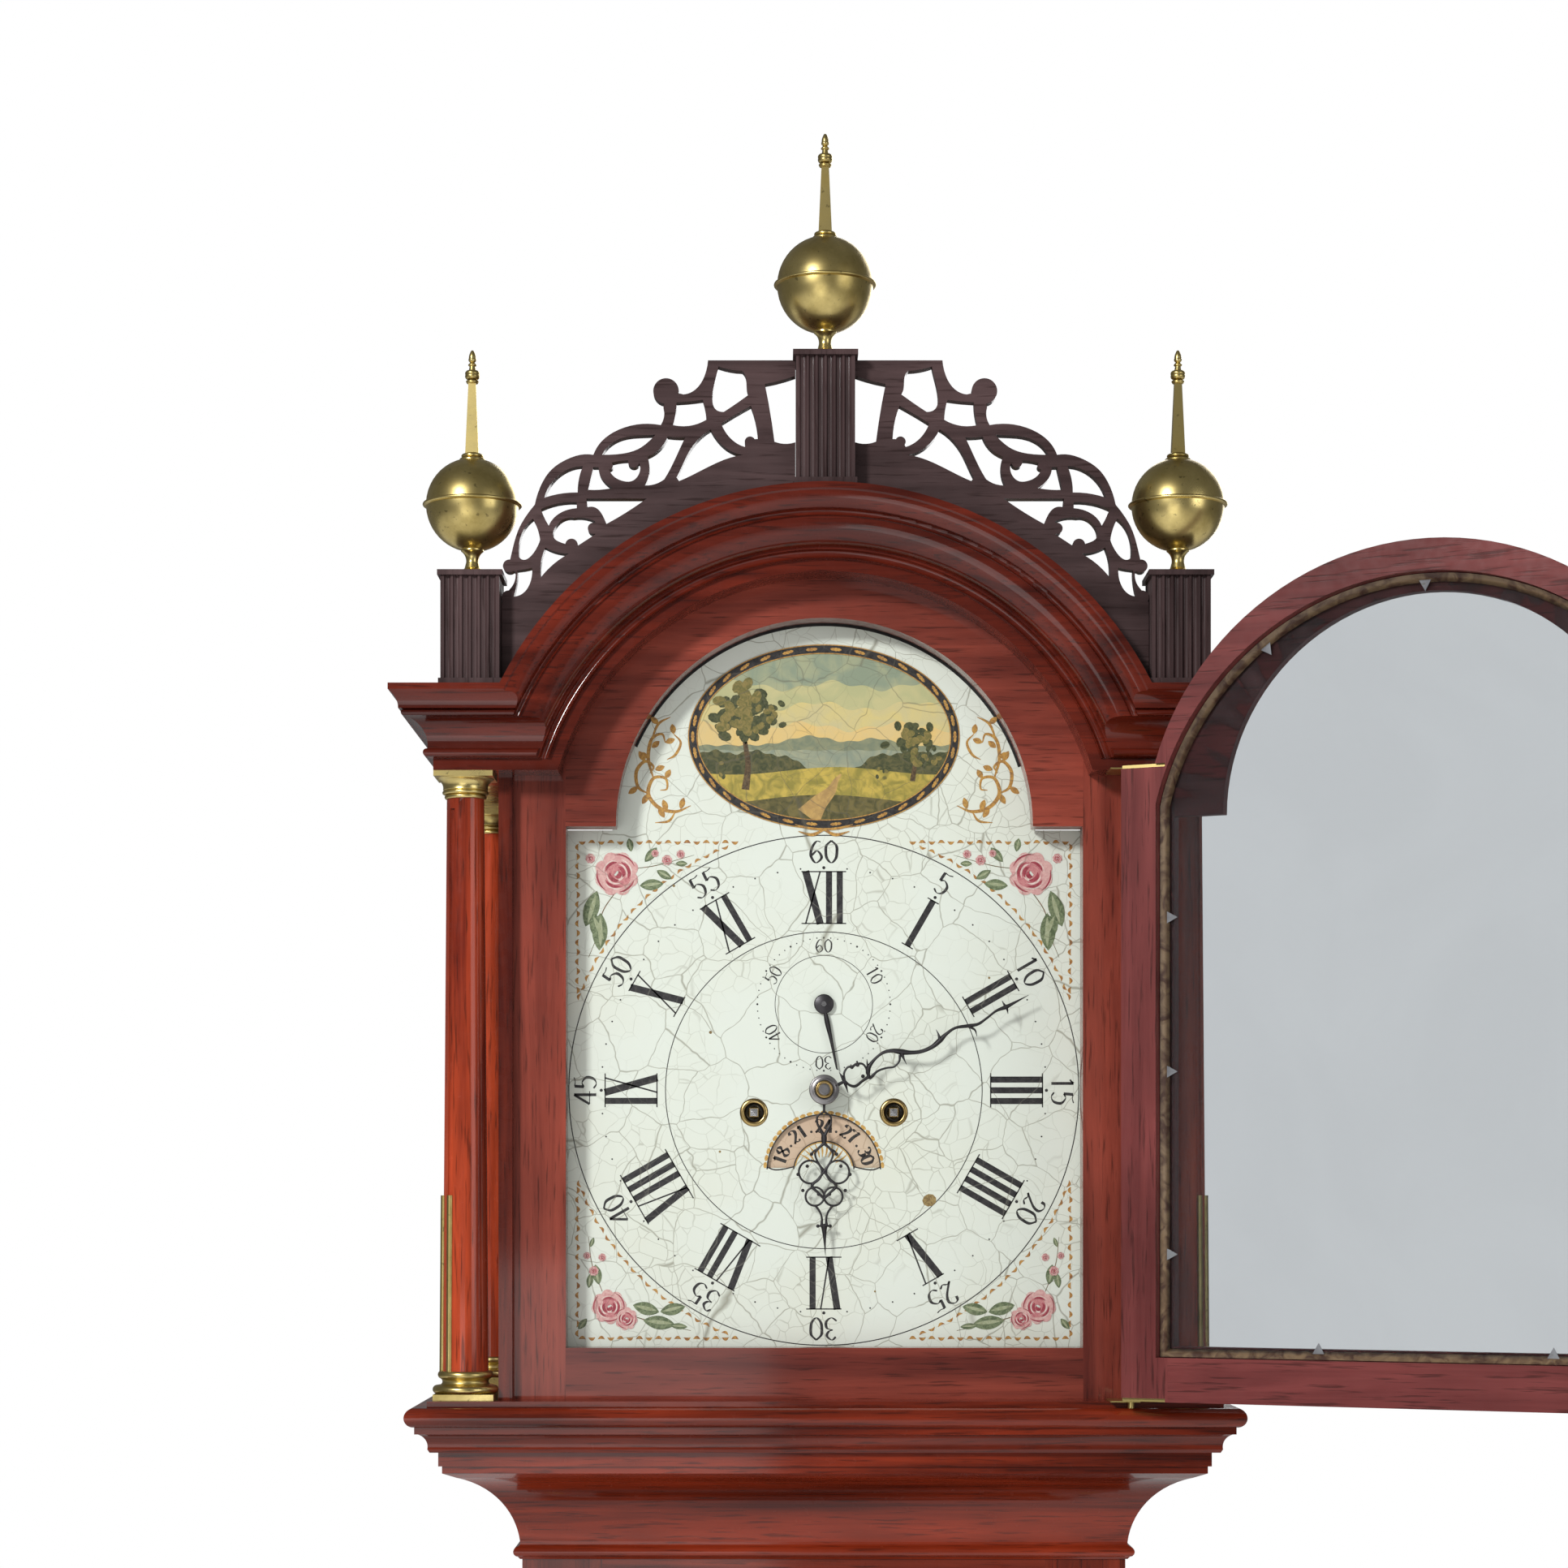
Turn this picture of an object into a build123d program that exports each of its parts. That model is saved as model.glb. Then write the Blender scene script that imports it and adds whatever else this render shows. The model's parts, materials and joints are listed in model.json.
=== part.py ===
from build123d import *
from math import atan2, cos, degrees, hypot, pi, radians, sin, sqrt
import os

# A tall case clock with an arched hood, its door swung open, and a weight driven movement.
# Millimetres. The origin is on the floor at the middle of the case. +X is to the viewer's
# right, -Y is to the front and +Z is up.

os.makedirs("parts", exist_ok=True)

# Fits
fit_gap = 0.3
run_gap = 0.05

# Lower case, half widths from the middle of the case
back_y = 118
backboard_thick = 16
foot_high = 120
foot_long = 140
foot_board = 22
foot_out = 7
base_high = 478
base_board = 18
base_out = 54
waist_half = 177
waist_front = -61
waist_board = 18
corner_square = 21
corner_block = 19
column_plain = 62
waist_high = 1052.6
backboard_high = 1985
wall_screw_z = 1640
wall_screw_radius = 3

# Waist door
waist_door_half = 130
waist_door_low = 92
waist_door_high = 932
waist_door_gap = 1
waist_door_lip = 8
waist_door_lip_thick = 7
waist_door_deep = 15
hinge_radius = 4
hinge_pin = 1.8
hinge_long = 60
hinge_leaf = 0.9
lock_drop = 420
lock_wide = 30
lock_tall = 40
lock_deep = 8
key_radius = 2.5
bolt_thick = 3
bolt_tall = 10
bolt_throw = 7

# Hood
throat_up = 987
hood_side_gap = 3.5
hood_side_thick = 8
hood_side_front = -92
column_high = 361.7
column_x = 207.5
column_front_y = -92
column_back_y = 100
frieze_half = 224
frieze_front = -109
frieze_thick = 25
cornice_high = 46.5
roof_thick = 8
arch_drop = 46
arch_radius = 160
window_low = 70
window_high = 310
window_front = -30
window_back = 70
window_rabbet = 5
light_thick = 2

# Dial mask and dial
mask_front = -84
mask_thick = 18
mask_opening_half = 150
mask_rail = 29.5
mask_arch_radius = 121
dial_front = -62
dial_thick = 1.5
dial_half = 152.5
dial_arch_radius = 124
dial_z = 1860

# Hood door
door_half = 172
door_front = -113
door_thick = 20
door_foot_gap = 1.7
door_head_gap = 1
door_arch_gap = 1.5
door_stile = 20.5
door_rail = 25
door_lip = 7
door_lip_thick = 7
door_sight_radius = 116
door_sight_spring = 16
glass_thick = 2.5
glass_gap = 1
pivot_x = 174.5
pivot_y = -116
pivot_radius = 2
pivot_plate = 0.8
strap_thick = 2
strap_long = 26
door_open = 154

# Fretwork, plinths and finials
fret_thick = 8
fret_y = -106
plinth_x = 202
plinth_y = -110
plinth_wide = 33.5
plinth_cap = 37
plinth_side_high = 65
plinth_middle_high = 76
ball_middle = 27.5
ball_side = 26.5

# Movement
seat_z = 1763
seat_thick = 20
plate_half = 68
plate_high = 175
plate_thick = 3
plate_front = -33
plate_back = 30
barrel_x = 41
barrel_drop = 13
barrel_radius = 25
barrel_front = -19.5
barrel_back = 13.5
seconds_up = 50.5
pallet_up = 81.6
calendar_drop = 47.5
line_radius = 1
pulley_radius = 15
pulley_z = 490
weight_radius = 34
weight_long = 230
pendulum_y = 56
rod_radius = 3
bob_radius = 55
bob_thick = 26
bob_z = 948
bell_radius = 45
bell_z = 1975

# Levels and faces that follow from the sizes above
base_top = foot_high + base_high
base_half = waist_half + base_out
base_front = waist_front - base_out
waist_top = base_top + waist_high
throat_z = base_top + throat_up
backboard_front = back_y - backboard_thick
hood_inner = waist_half + hood_side_gap
hood_outer = hood_inner + hood_side_thick
mask_back = mask_front + mask_thick
pulley_x = barrel_x + barrel_radius + fit_gap + 2 * line_radius + fit_gap + pulley_radius


def block(x0, x1, y0, y1, z0, z1, mode=Mode.ADD):
    """A box between two opposite corners."""
    with Locations(((x0 + x1) / 2, (y0 + y1) / 2, (z0 + z1) / 2)):
        Box(abs(x1 - x0), abs(y1 - y0), abs(z1 - z0), mode=mode)


def post(x, y, z0, z1, radius, mode=Mode.ADD):
    """An upright round bar."""
    with Locations((x, y, (z0 + z1) / 2)):
        Cylinder(radius, abs(z1 - z0), mode=mode)


def bar(start, end, radius, mode=Mode.ADD):
    """A round bar between two points."""
    run = Vector(*end) - Vector(*start)
    middle = (Vector(*end) + Vector(*start)) / 2
    with Locations(Plane(origin=middle, z_dir=run)):
        Cylinder(radius, run.length, mode=mode)


def shaft(x, z, y0, y1, radius, mode=Mode.ADD):
    """A round bar that runs from front to back."""
    bar((x, y0, z), (x, y1, z), radius, mode)


def facing(x, y, z):
    """A plane that faces the front, with X to the right and Z up."""
    return Plane(origin=(x, y, z), x_dir=(1, 0, 0), z_dir=(0, -1, 0))


def trace(steps):
    """Draw an outline through (x, y, rise) steps; rise is the arc's height, 0 for a line."""
    here = steps[-1]
    for step in steps:
        if step[2]:
            SagittaArc(here[:2], step[:2], step[2])
        else:
            Line(here[:2], step[:2])
        here = step


def drawn(plane, steps):
    """The flat face inside an outline."""
    with BuildSketch(plane) as flat:
        with BuildLine():
            trace(steps)
        make_face()
    return flat.sketch


def straight(points):
    """Outline steps with straight sides."""
    return [(x, y, 0) for x, y in points]


def face_steps(profile, face, side, base):
    """A moulding's (out, up, bulge) steps, set up one face whose outward side is +1 or -1."""
    return [(face + side * out, base + up, -side * bulge) for out, up, bulge in profile]


def mirrored(steps):
    """The same run of steps on the other side, drawn backwards."""
    others = []
    carried = 0
    for x, y, rise in reversed(steps):
        others.append((-x, y, carried))
        carried = rise
    return others


def moulding(profile, half, front, base, inner_half, inner_front):
    """A moulding mitred round the front and both sides of the case."""
    wide = half + 100
    up = face_steps(profile, front, -1, base)
    section = [(back_y, up[0][1], 0)] + up + [(back_y, up[-1][1], 0)]
    extrude(drawn(Plane.YZ, section), amount=wide, both=True)
    right = face_steps(profile, half, 1, base)
    extrude(drawn(Plane.XZ, right + mirrored(right)), amount=wide, both=True, mode=Mode.INTERSECT)
    top = base + profile[-1][1]
    block(-inner_half, inner_half, inner_front, back_y + 1, base - 1, top + 1, mode=Mode.SUBTRACT)


def turned(x, y, base, profile, mode=Mode.ADD):
    """A piece turned about an upright axis, from (radius, up, bulge) steps."""
    up = [(radius, height, -bulge) for radius, height, bulge in profile]
    steps = [(0, up[0][1], 0)] + up + [(0, up[-1][1], 0)]
    revolve(drawn(facing(x, y, base), steps), Axis((x, y, base), (0, 0, 1)), mode=mode)


def both_sides():
    """Repeat the part on the other side of the case."""
    mirror(about=Plane.YZ)


# Bracket feet: two boards mitred at the corner, with a block behind them
foot_half = base_half + foot_out
foot_front = base_front - foot_out
foot_shape = [(0, 0, 0), (58, 0, 0), (80, 50, -8), (97, 68, -6), (foot_long, 98, -6),
              (foot_long, foot_high, 0), (0, foot_high, 0)]
with BuildPart() as bracket_feet:
    front_board = [(foot_half - u, z, -rise) for u, z, rise in foot_shape]
    extrude(drawn(facing(0, foot_front + foot_board, 0), front_board), amount=foot_board)
    side_plane = Plane.YZ.offset(foot_half - foot_board)
    side_board = [(foot_front + u, z, rise) for u, z, rise in foot_shape]
    extrude(drawn(side_plane, side_board), amount=foot_board)
    rear_board = [(back_y - u, z, -rise) for u, z, rise in foot_shape]
    extrude(drawn(side_plane, rear_board), amount=foot_board)
    inner = foot_half - foot_board
    block(inner - 60, inner, back_y - foot_board, back_y, 0, foot_high)
    block(inner - 32, inner, foot_front + foot_board, foot_front + foot_board + 32, 4, foot_high)
    block(inner - 32, inner, back_y - foot_board - 32, back_y - foot_board, 4, foot_high)
    both_sides()
bracket_feet.part.label = "bracket_feet"
export_step(bracket_feet.part, "parts/bracket_feet.step")

# Base box
with BuildPart() as base_moulding:
    profile = [(foot_out + 2, 0, 0), (foot_out + 2, 7, 2), (foot_out, 9, 0), (2, 19, -2.5), (2, 21, 0),
               (0, 22, 0)]
    moulding(profile, base_half, base_front, foot_high, base_half, base_front)
base_moulding.part.label = "base_moulding"
export_step(base_moulding.part, "parts/base_moulding.step")

with BuildPart() as base_panels:
    inner = base_half - base_board
    block(-base_half, base_half, base_front, base_front + base_board, foot_high, base_top)
    block(inner, base_half, base_front + base_board, backboard_front, foot_high, base_top)
    both_sides()
    block(-inner, inner, base_front + base_board, backboard_front, foot_high, foot_high + base_board)
base_panels.part.label = "base_panels"
export_step(base_panels.part, "parts/base_panels.step")

with BuildPart() as waist_base_moulding:
    profile = [(base_out, 0, 0), (base_out, 8, 4), (base_out - 3, 8, 0), (base_out - 3, 11, 0),
               (10, 39, -11), (6, 39, 0), (6, 42, 0), (0, 42, 0)]
    moulding(profile, waist_half, waist_front, base_top, waist_half, waist_front)
waist_base_moulding.part.label = "waist_base_moulding"
export_step(waist_base_moulding.part, "parts/waist_base_moulding.step")

# Waist
corner_x = waist_half - corner_square
frame_back = waist_front + corner_square
column_low_z = base_top + column_plain
column_top_z = throat_z - 25
door_low = base_top + waist_door_low
door_high = base_top + waist_door_high
lock_z = door_high - lock_drop
lock_x = -waist_door_half + waist_door_gap + lock_wide / 2
bolt_z = lock_z - 8
bolt_front = waist_front + waist_door_deep + 1.5
with BuildPart() as waist_front_frame:
    block(-corner_x, corner_x, waist_front, frame_back, base_top, waist_top)
    for low, high in ((base_top, column_low_z), (column_top_z, waist_top)):
        block(corner_x, waist_half, waist_front, frame_back, low, high)
    glue_x = waist_half - waist_board
    block(glue_x - corner_block, glue_x, frame_back, frame_back + corner_block, base_top, waist_top)
    both_sides()
    block(-waist_door_half, waist_door_half, waist_front - 1, frame_back + 1, door_low, door_high,
          mode=Mode.SUBTRACT)
    block(-waist_door_half - bolt_throw - 1, -waist_door_half, bolt_front - fit_gap, frame_back,
          bolt_z - bolt_tall / 2 - fit_gap, bolt_z + bolt_tall / 2 + fit_gap, mode=Mode.SUBTRACT)
waist_front_frame.part.label = "waist_front_frame"
export_step(waist_front_frame.part, "parts/waist_front_frame.step")

with BuildPart() as waist_sides:
    block(waist_half - waist_board, waist_half, frame_back, backboard_front, base_top, seat_z)
    both_sides()
waist_sides.part.label = "waist_sides"
export_step(waist_sides.part, "parts/waist_sides.step")

with BuildPart() as backboard:
    block(-waist_half, waist_half, backboard_front, back_y, base_top, backboard_high)
    block(-base_half, base_half, backboard_front, back_y, foot_high, base_top)
    shaft(0, wall_screw_z, backboard_front - 1, back_y + 1, wall_screw_radius, mode=Mode.SUBTRACT)
backboard.part.label = "backboard"
export_step(backboard.part, "parts/backboard.step")

# Quarter columns in the corners of the waist
quarter_radius = corner_square - 0.5
quarter_flute = 2.2
quarter_angles = (-75, -55, -35, -15)
brass_low = 30
brass_high = 26
stop_share = 300
with BuildPart() as quarter_columns:
    with BuildSketch(Plane.XY.offset(column_low_z + brass_low)) as section:
        with Locations((corner_x, frame_back)):
            Circle(quarter_radius - 2.5)
            with Locations((quarter_radius / 2, -quarter_radius / 2)):
                Rectangle(quarter_radius, quarter_radius, mode=Mode.INTERSECT)
            for angle in quarter_angles:
                with PolarLocations(quarter_radius - 2.5, 1, start_angle=angle):
                    Circle(quarter_flute, mode=Mode.SUBTRACT)
    extrude(amount=column_top_z - brass_high - column_low_z - brass_low)
    both_sides()
quarter_columns.part.label = "quarter_columns"
export_step(quarter_columns.part, "parts/quarter_columns.step")

quarter_base = [(quarter_radius, 0, 0), (quarter_radius, 9, 0), (quarter_radius - 1, 9, 0),
                (quarter_radius - 1, 19, 2.5), (quarter_radius - 2, 20, 0), (quarter_radius - 2, 26, -1.5),
                (quarter_radius - 1.5, 26, 0), (quarter_radius - 1.5, brass_low, 1)]
quarter_cap = [(quarter_radius - 1.5, 0, 0), (quarter_radius - 1.5, 4, 1), (quarter_radius - 2.2, 5, 0),
               (quarter_radius - 0.5, 17, 1.5), (quarter_radius, 18, 0), (quarter_radius, brass_high, 0)]
with BuildPart() as quarter_column_brasses:
    turned(corner_x, frame_back, column_low_z, quarter_base)
    turned(corner_x, frame_back, column_top_z - brass_high, quarter_cap)
    block(corner_x, corner_x + quarter_radius + 1, frame_back - quarter_radius - 1, frame_back,
          column_low_z, column_top_z, mode=Mode.INTERSECT)
    for angle in quarter_angles:
        reach = quarter_radius - 2.5
        x = corner_x + reach * cos(radians(angle))
        y = frame_back + reach * sin(radians(angle))
        post(x, y, column_low_z + brass_low, column_low_z + brass_low + stop_share, quarter_flute - 0.3)
    both_sides()
quarter_column_brasses.part.label = "quarter_column_brasses"
export_step(quarter_column_brasses.part, "parts/quarter_column_brasses.step")

# Throat: bead, large cove and fascia that carry the hood
throat_profile = [(1.2, 0, 0), (2.5, 1.5, 0), (2.5, 7.5, 2.5), (1.2, 8.5, 0), (1.2, 10, 0),
                  (35.4, 50.4, -8), (43, 53.5, 0), (43, 57.7, 0), (45, 57.7, 0),
                  (45, waist_top - throat_z, 0)]
with BuildPart() as throat_moulding:
    moulding(throat_profile, waist_half, waist_front, throat_z, waist_half, waist_front)
throat_moulding.part.label = "throat_moulding"
export_step(throat_moulding.part, "parts/throat_moulding.step")

# Waist door, hung on the right
panel_half = waist_door_half - waist_door_gap
lip_half = waist_door_half + waist_door_lip
lip_back = waist_front - 1
lip_front = lip_back - waist_door_lip_thick
panel_back = waist_front + waist_door_deep
lip_bevel = 4
with BuildPart() as waist_door:
    block(-panel_half, panel_half, lip_back, panel_back, door_low + waist_door_gap,
          door_high - waist_door_gap)
    block(-lip_half, lip_half, lip_front, lip_back, door_low - waist_door_lip, door_high + waist_door_lip)
    chamfer(waist_door.faces().sort_by(Axis.Y)[0].edges(), lip_bevel)
    shaft(lock_x, lock_z, lip_front - 1, panel_back + 1, key_radius + run_gap, mode=Mode.SUBTRACT)
waist_door.part.label = "waist_door"
export_step(waist_door.part, "parts/waist_door.step")

hinge_x = lip_half + hinge_leaf + hinge_radius + 0.1
hinge_y = waist_front - hinge_radius - fit_gap
knuckle = hinge_long / 3
hinge_levels = (door_low + 60, door_high - 60 - hinge_long)
with BuildPart() as waist_door_hinges:
    for z in hinge_levels:
        for low in (z, z + 2 * knuckle):
            post(hinge_x, hinge_y, low, low + knuckle, hinge_radius)
            block(hinge_x, hinge_x + 11, waist_front - 1.8, waist_front, low, low + knuckle)
        block(hinge_x + hinge_radius + 0.2, hinge_x + 11, waist_front - 1.8, waist_front, z, z + hinge_long)
        post(hinge_x, hinge_y, z - 2, z + hinge_long + 2, hinge_pin)
waist_door_hinges.part.label = "waist_door_hinges"
export_step(waist_door_hinges.part, "parts/waist_door_hinges.step")

case_left = -panel_half
case_right = case_left + lock_wide
with BuildPart() as waist_door_brasses:
    for z in hinge_levels:
        low = z + knuckle + 0.2
        high = z + 2 * knuckle - 0.2
        block(lip_half, lip_half + hinge_leaf, lip_front + lip_bevel + 0.5, lip_back, z, z + hinge_long)
        block(lip_half, hinge_x, hinge_y - 1, hinge_y + 1.2, low, high)
        post(hinge_x, hinge_y, low, high, hinge_radius)
        post(hinge_x, hinge_y, low - 1, high + 1, hinge_pin + run_gap, mode=Mode.SUBTRACT)
    block(case_left, case_right, panel_back, panel_back + lock_deep, lock_z - lock_tall / 2,
          lock_z + lock_tall / 2)
    block(case_left - 1, case_right - 6, bolt_front - fit_gap, bolt_front + bolt_thick + fit_gap,
          bolt_z - bolt_tall / 2 - fit_gap, bolt_z + bolt_tall / 2 + fit_gap, mode=Mode.SUBTRACT)
    shaft(lock_x, lock_z, lip_front - 1.2, lip_front, 9)
    block(lock_x - 6, lock_x + 6, lip_front - 1.2, lip_front, lock_z - 20, lock_z)
    shaft(lock_x, lock_z, lip_front - 2, panel_back + 4, key_radius + run_gap, mode=Mode.SUBTRACT)
waist_door_brasses.part.label = "waist_door_brasses"
export_step(waist_door_brasses.part, "parts/waist_door_brasses.step")

with BuildPart() as lock_bolt:
    block(case_left, case_right - 6 - fit_gap - bolt_throw / 2, bolt_front, bolt_front + bolt_thick,
          bolt_z - bolt_tall / 2, bolt_z + bolt_tall / 2)
lock_bolt.part.label = "lock_bolt"
export_step(lock_bolt.part, "parts/lock_bolt.step")

key_out = 30
with BuildPart() as door_key:
    shaft(lock_x, lock_z, lip_front - key_out, panel_back + 3, key_radius)
    shaft(lock_x, lock_z, lip_front - key_out, lip_front - key_out + 5, key_radius + 1.2)
    bow_y = lip_front - key_out - 10
    with BuildSketch(Plane.YZ.offset(lock_x - 1.5)) as bow:
        with Locations((bow_y, lock_z)):
            Ellipse(11, 13)
            Ellipse(6.5, 8.5, mode=Mode.SUBTRACT)
    extrude(amount=3)
door_key.part.label = "door_key"
export_step(door_key.part, "parts/door_key.step")

# Hood base
hood_floor = waist_top + fit_gap
hood_base_profile = [(49.5, 0, 0), (50.7, 2, 0), (56, 11, -2), (57.5, 11, 0), (57.5, 15, 0), (58.5, 15, 0),
                     (58.5, 26, 4.5), (51, 26, 0), (51, 29.4, 0)]
deck_z = hood_floor + hood_base_profile[-1][1]
cornice_z = deck_z + column_high
cornice_top = cornice_z + cornice_high
arch_z = cornice_z - arch_drop
arch_outer = arch_radius + cornice_high
with BuildPart() as hood_base_moulding:
    moulding(hood_base_profile, waist_half, waist_front, hood_floor, hood_inner, mask_back)
    block(-hood_inner, hood_inner, waist_front - 5, mask_back + 0.1, hood_floor - 1, hood_floor,
          mode=Mode.SUBTRACT)
hood_base_moulding.part.label = "hood_base_moulding"
export_step(hood_base_moulding.part, "parts/hood_base_moulding.step")

# Hood sides, each with a glazed light
frieze_back = frieze_front + frieze_thick
roof_low = cornice_top - roof_thick
with BuildPart() as hood_sides:
    block(hood_inner, hood_outer, hood_side_front, back_y, deck_z, cornice_z)
    block(hood_inner, hood_outer, frieze_back, back_y, cornice_z, roof_low)
    block(hood_inner - 1, hood_outer + 1, window_front, window_back, deck_z + window_low,
          deck_z + window_high, mode=Mode.SUBTRACT)
    block(hood_inner - 1, hood_inner + hood_side_thick / 2, window_front - window_rabbet,
          window_back + window_rabbet, deck_z + window_low - window_rabbet,
          deck_z + window_high + window_rabbet, mode=Mode.SUBTRACT)
    both_sides()
hood_sides.part.label = "hood_sides"
export_step(hood_sides.part, "parts/hood_sides.step")

with BuildPart() as side_lights:
    light_x = hood_inner + hood_side_thick / 2
    spare = window_rabbet - 1
    block(light_x - light_thick, light_x, window_front - spare, window_back + spare,
          deck_z + window_low - spare, deck_z + window_high + spare)
    both_sides()
side_lights.part.label = "side_lights"
export_step(side_lights.part, "parts/side_lights.step")


def arched(plane, half, low, shoulder, centre_z, radius):
    """A break arch outline: an upright oblong with a smaller arch on its shoulders."""
    with BuildSketch(plane) as outline:
        with Locations((0, (low + shoulder) / 2)):
            Rectangle(2 * half, shoulder - low)
        with Locations((0, centre_z)):
            Circle(radius)
        with Locations((0, low - 500)):
            Rectangle(2000, 1000, mode=Mode.SUBTRACT)
    return outline.sketch


# Dial mask
opening_top = dial_z + dial_half
with BuildPart() as dial_mask:
    mask_plane = facing(0, mask_back, 0)
    extrude(arched(mask_plane, hood_inner, deck_z, cornice_z + 20, arch_z, arch_radius + 14),
            amount=mask_thick)
    extrude(arched(mask_plane, mask_opening_half, deck_z + mask_rail, opening_top, opening_top,
                   mask_arch_radius), amount=mask_thick, mode=Mode.SUBTRACT)
dial_mask.part.label = "dial_mask"
export_step(dial_mask.part, "parts/dial_mask.step")


def hood_silhouette(plane, inset, low):
    """The front outline of the entablature with its arch, drawn in by an inset."""
    with BuildSketch(plane) as outline:
        with Locations((0, (cornice_z + cornice_top - inset) / 2)):
            Rectangle(1000, cornice_high - inset)
        with Locations((0, arch_z)):
            Circle(arch_outer - inset)
        with Locations((0, low - 500)):
            Rectangle(2000, 1000, mode=Mode.SUBTRACT)
    return outline.sketch


# Frieze: an arched front board and two side boards
with BuildPart() as hood_frieze:
    extrude(hood_silhouette(facing(0, frieze_back, 0), 0, cornice_z), amount=frieze_thick)
    block(-frieze_half, frieze_half, frieze_front, frieze_back, cornice_z, arch_z + arch_outer + 1,
          mode=Mode.INTERSECT)
    shaft(0, arch_z, frieze_front - 1, frieze_back + 1, arch_radius, mode=Mode.SUBTRACT)
    block(hood_outer, frieze_half, frieze_back, back_y, cornice_z, roof_low)
    block(-frieze_half, -hood_outer, frieze_back, back_y, cornice_z, roof_low)
hood_frieze.part.label = "hood_frieze"
export_step(hood_frieze.part, "parts/hood_frieze.step")

# Arched cornice: straight and curved runs of one profile, mitred where they meet
cornice_profile = [(0.5, 0, 0), (0.5, 6.3, 0), (3.5, 7, 0), (3.5, 12, 2.4), (3.5, 13, 0), (14.6, 29, -3.5),
                   (15.8, 29, 0), (15.8, 32.5, 1.5), (18.7, 33, 0), (23, 42, -1.2), (24, 43, 0),
                   (24, cornice_high, 0)]
cornice_out = cornice_profile[-1][0]
sky = arch_z + arch_outer + 5
with BuildPart() as arch_cornice:
    up = face_steps(cornice_profile, frieze_front, -1, cornice_z)
    full = frieze_front - cornice_out
    section = [(back_y, cornice_z, 0)] + up + [(full, sky, 0), (back_y, sky, 0)]
    extrude(drawn(Plane.YZ, section), amount=frieze_half + 60, both=True)
    ring = [(arch_radius + h, frieze_front - p, bulge) for p, h, bulge in cornice_profile]
    rim = [(arch_radius, back_y, 0)] + ring + [(400, full, 0), (400, back_y, 0)]
    arch_plane = Plane(origin=(0, 0, arch_z), x_dir=(1, 0, 0), z_dir=(0, 0, 1))
    revolve(drawn(arch_plane, rim), Axis((0, 0, arch_z), (0, 1, 0)), mode=Mode.INTERSECT)
    side = face_steps(cornice_profile, frieze_half, 1, cornice_z)
    side = side + [(frieze_half + cornice_out, sky, 0)]
    extrude(drawn(Plane.XZ, side + mirrored(side)), amount=300, both=True, mode=Mode.INTERSECT)
    extrude(hood_silhouette(facing(0, back_y, 0), 0, cornice_z), amount=300, mode=Mode.INTERSECT)
    block(-frieze_half, frieze_half, frieze_front, back_y + 1, cornice_z - 1, sky + 1, mode=Mode.SUBTRACT)
arch_cornice.part.label = "arch_cornice"
export_step(arch_cornice.part, "parts/arch_cornice.step")

# Roof boards behind the frieze
with BuildPart() as hood_roof:
    roof_plane = facing(0, back_y, 0)
    extrude(hood_silhouette(roof_plane, 0, roof_low), amount=back_y - frieze_back)
    block(-frieze_half, frieze_half, frieze_back, back_y, roof_low, sky, mode=Mode.INTERSECT)
    shaft(0, arch_z, frieze_back - 1, back_y + 1, arch_outer - roof_thick, mode=Mode.SUBTRACT)
hood_roof.part.label = "hood_roof"
export_step(hood_roof.part, "parts/hood_roof.step")

# Pierced fretwork, left half, with heights above the centre of the arch. Each run is a smooth
# curve that starts where the run before it ended.
fret_edge = [
    [(-67, 279.5)], [(-69, 270.5), (-74, 263), (-81, 260)], [(-88, 260), (-92.5, 252.5)],
    [(-92, 249), (-94, 242.5)], [(-106.5, 243), (-116.5, 240.5), (-126.5, 234.5), (-132.5, 225.5)],
    [(-140, 225.5), (-147.5, 223), (-156.5, 217), (-162.5, 208), (-166, 197)],
    [(-171, 190.5), (-175, 183.5), (-178, 174.5), (-180, 166)], [(-180, 161), (-177, 158.5)],
    [(-178, 152), (-180.5, 148.5)],
]
fret_window = [[(-25.5, 232), (-29, 233)], [(-32, 253), (-34.5, 266)], [(-25.5, 268), (-17.5, 270.5)]]
fret_knobs = ((-91, 262, 7.3), (-180.5, 162, 3.7), (-181, 144, 4))
fret_curls = ((-43, 233, 3), (-109.5, 221.5, 3.2), (-132.5, 183.5, 3.2), (-145, 174, 3.6))
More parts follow.
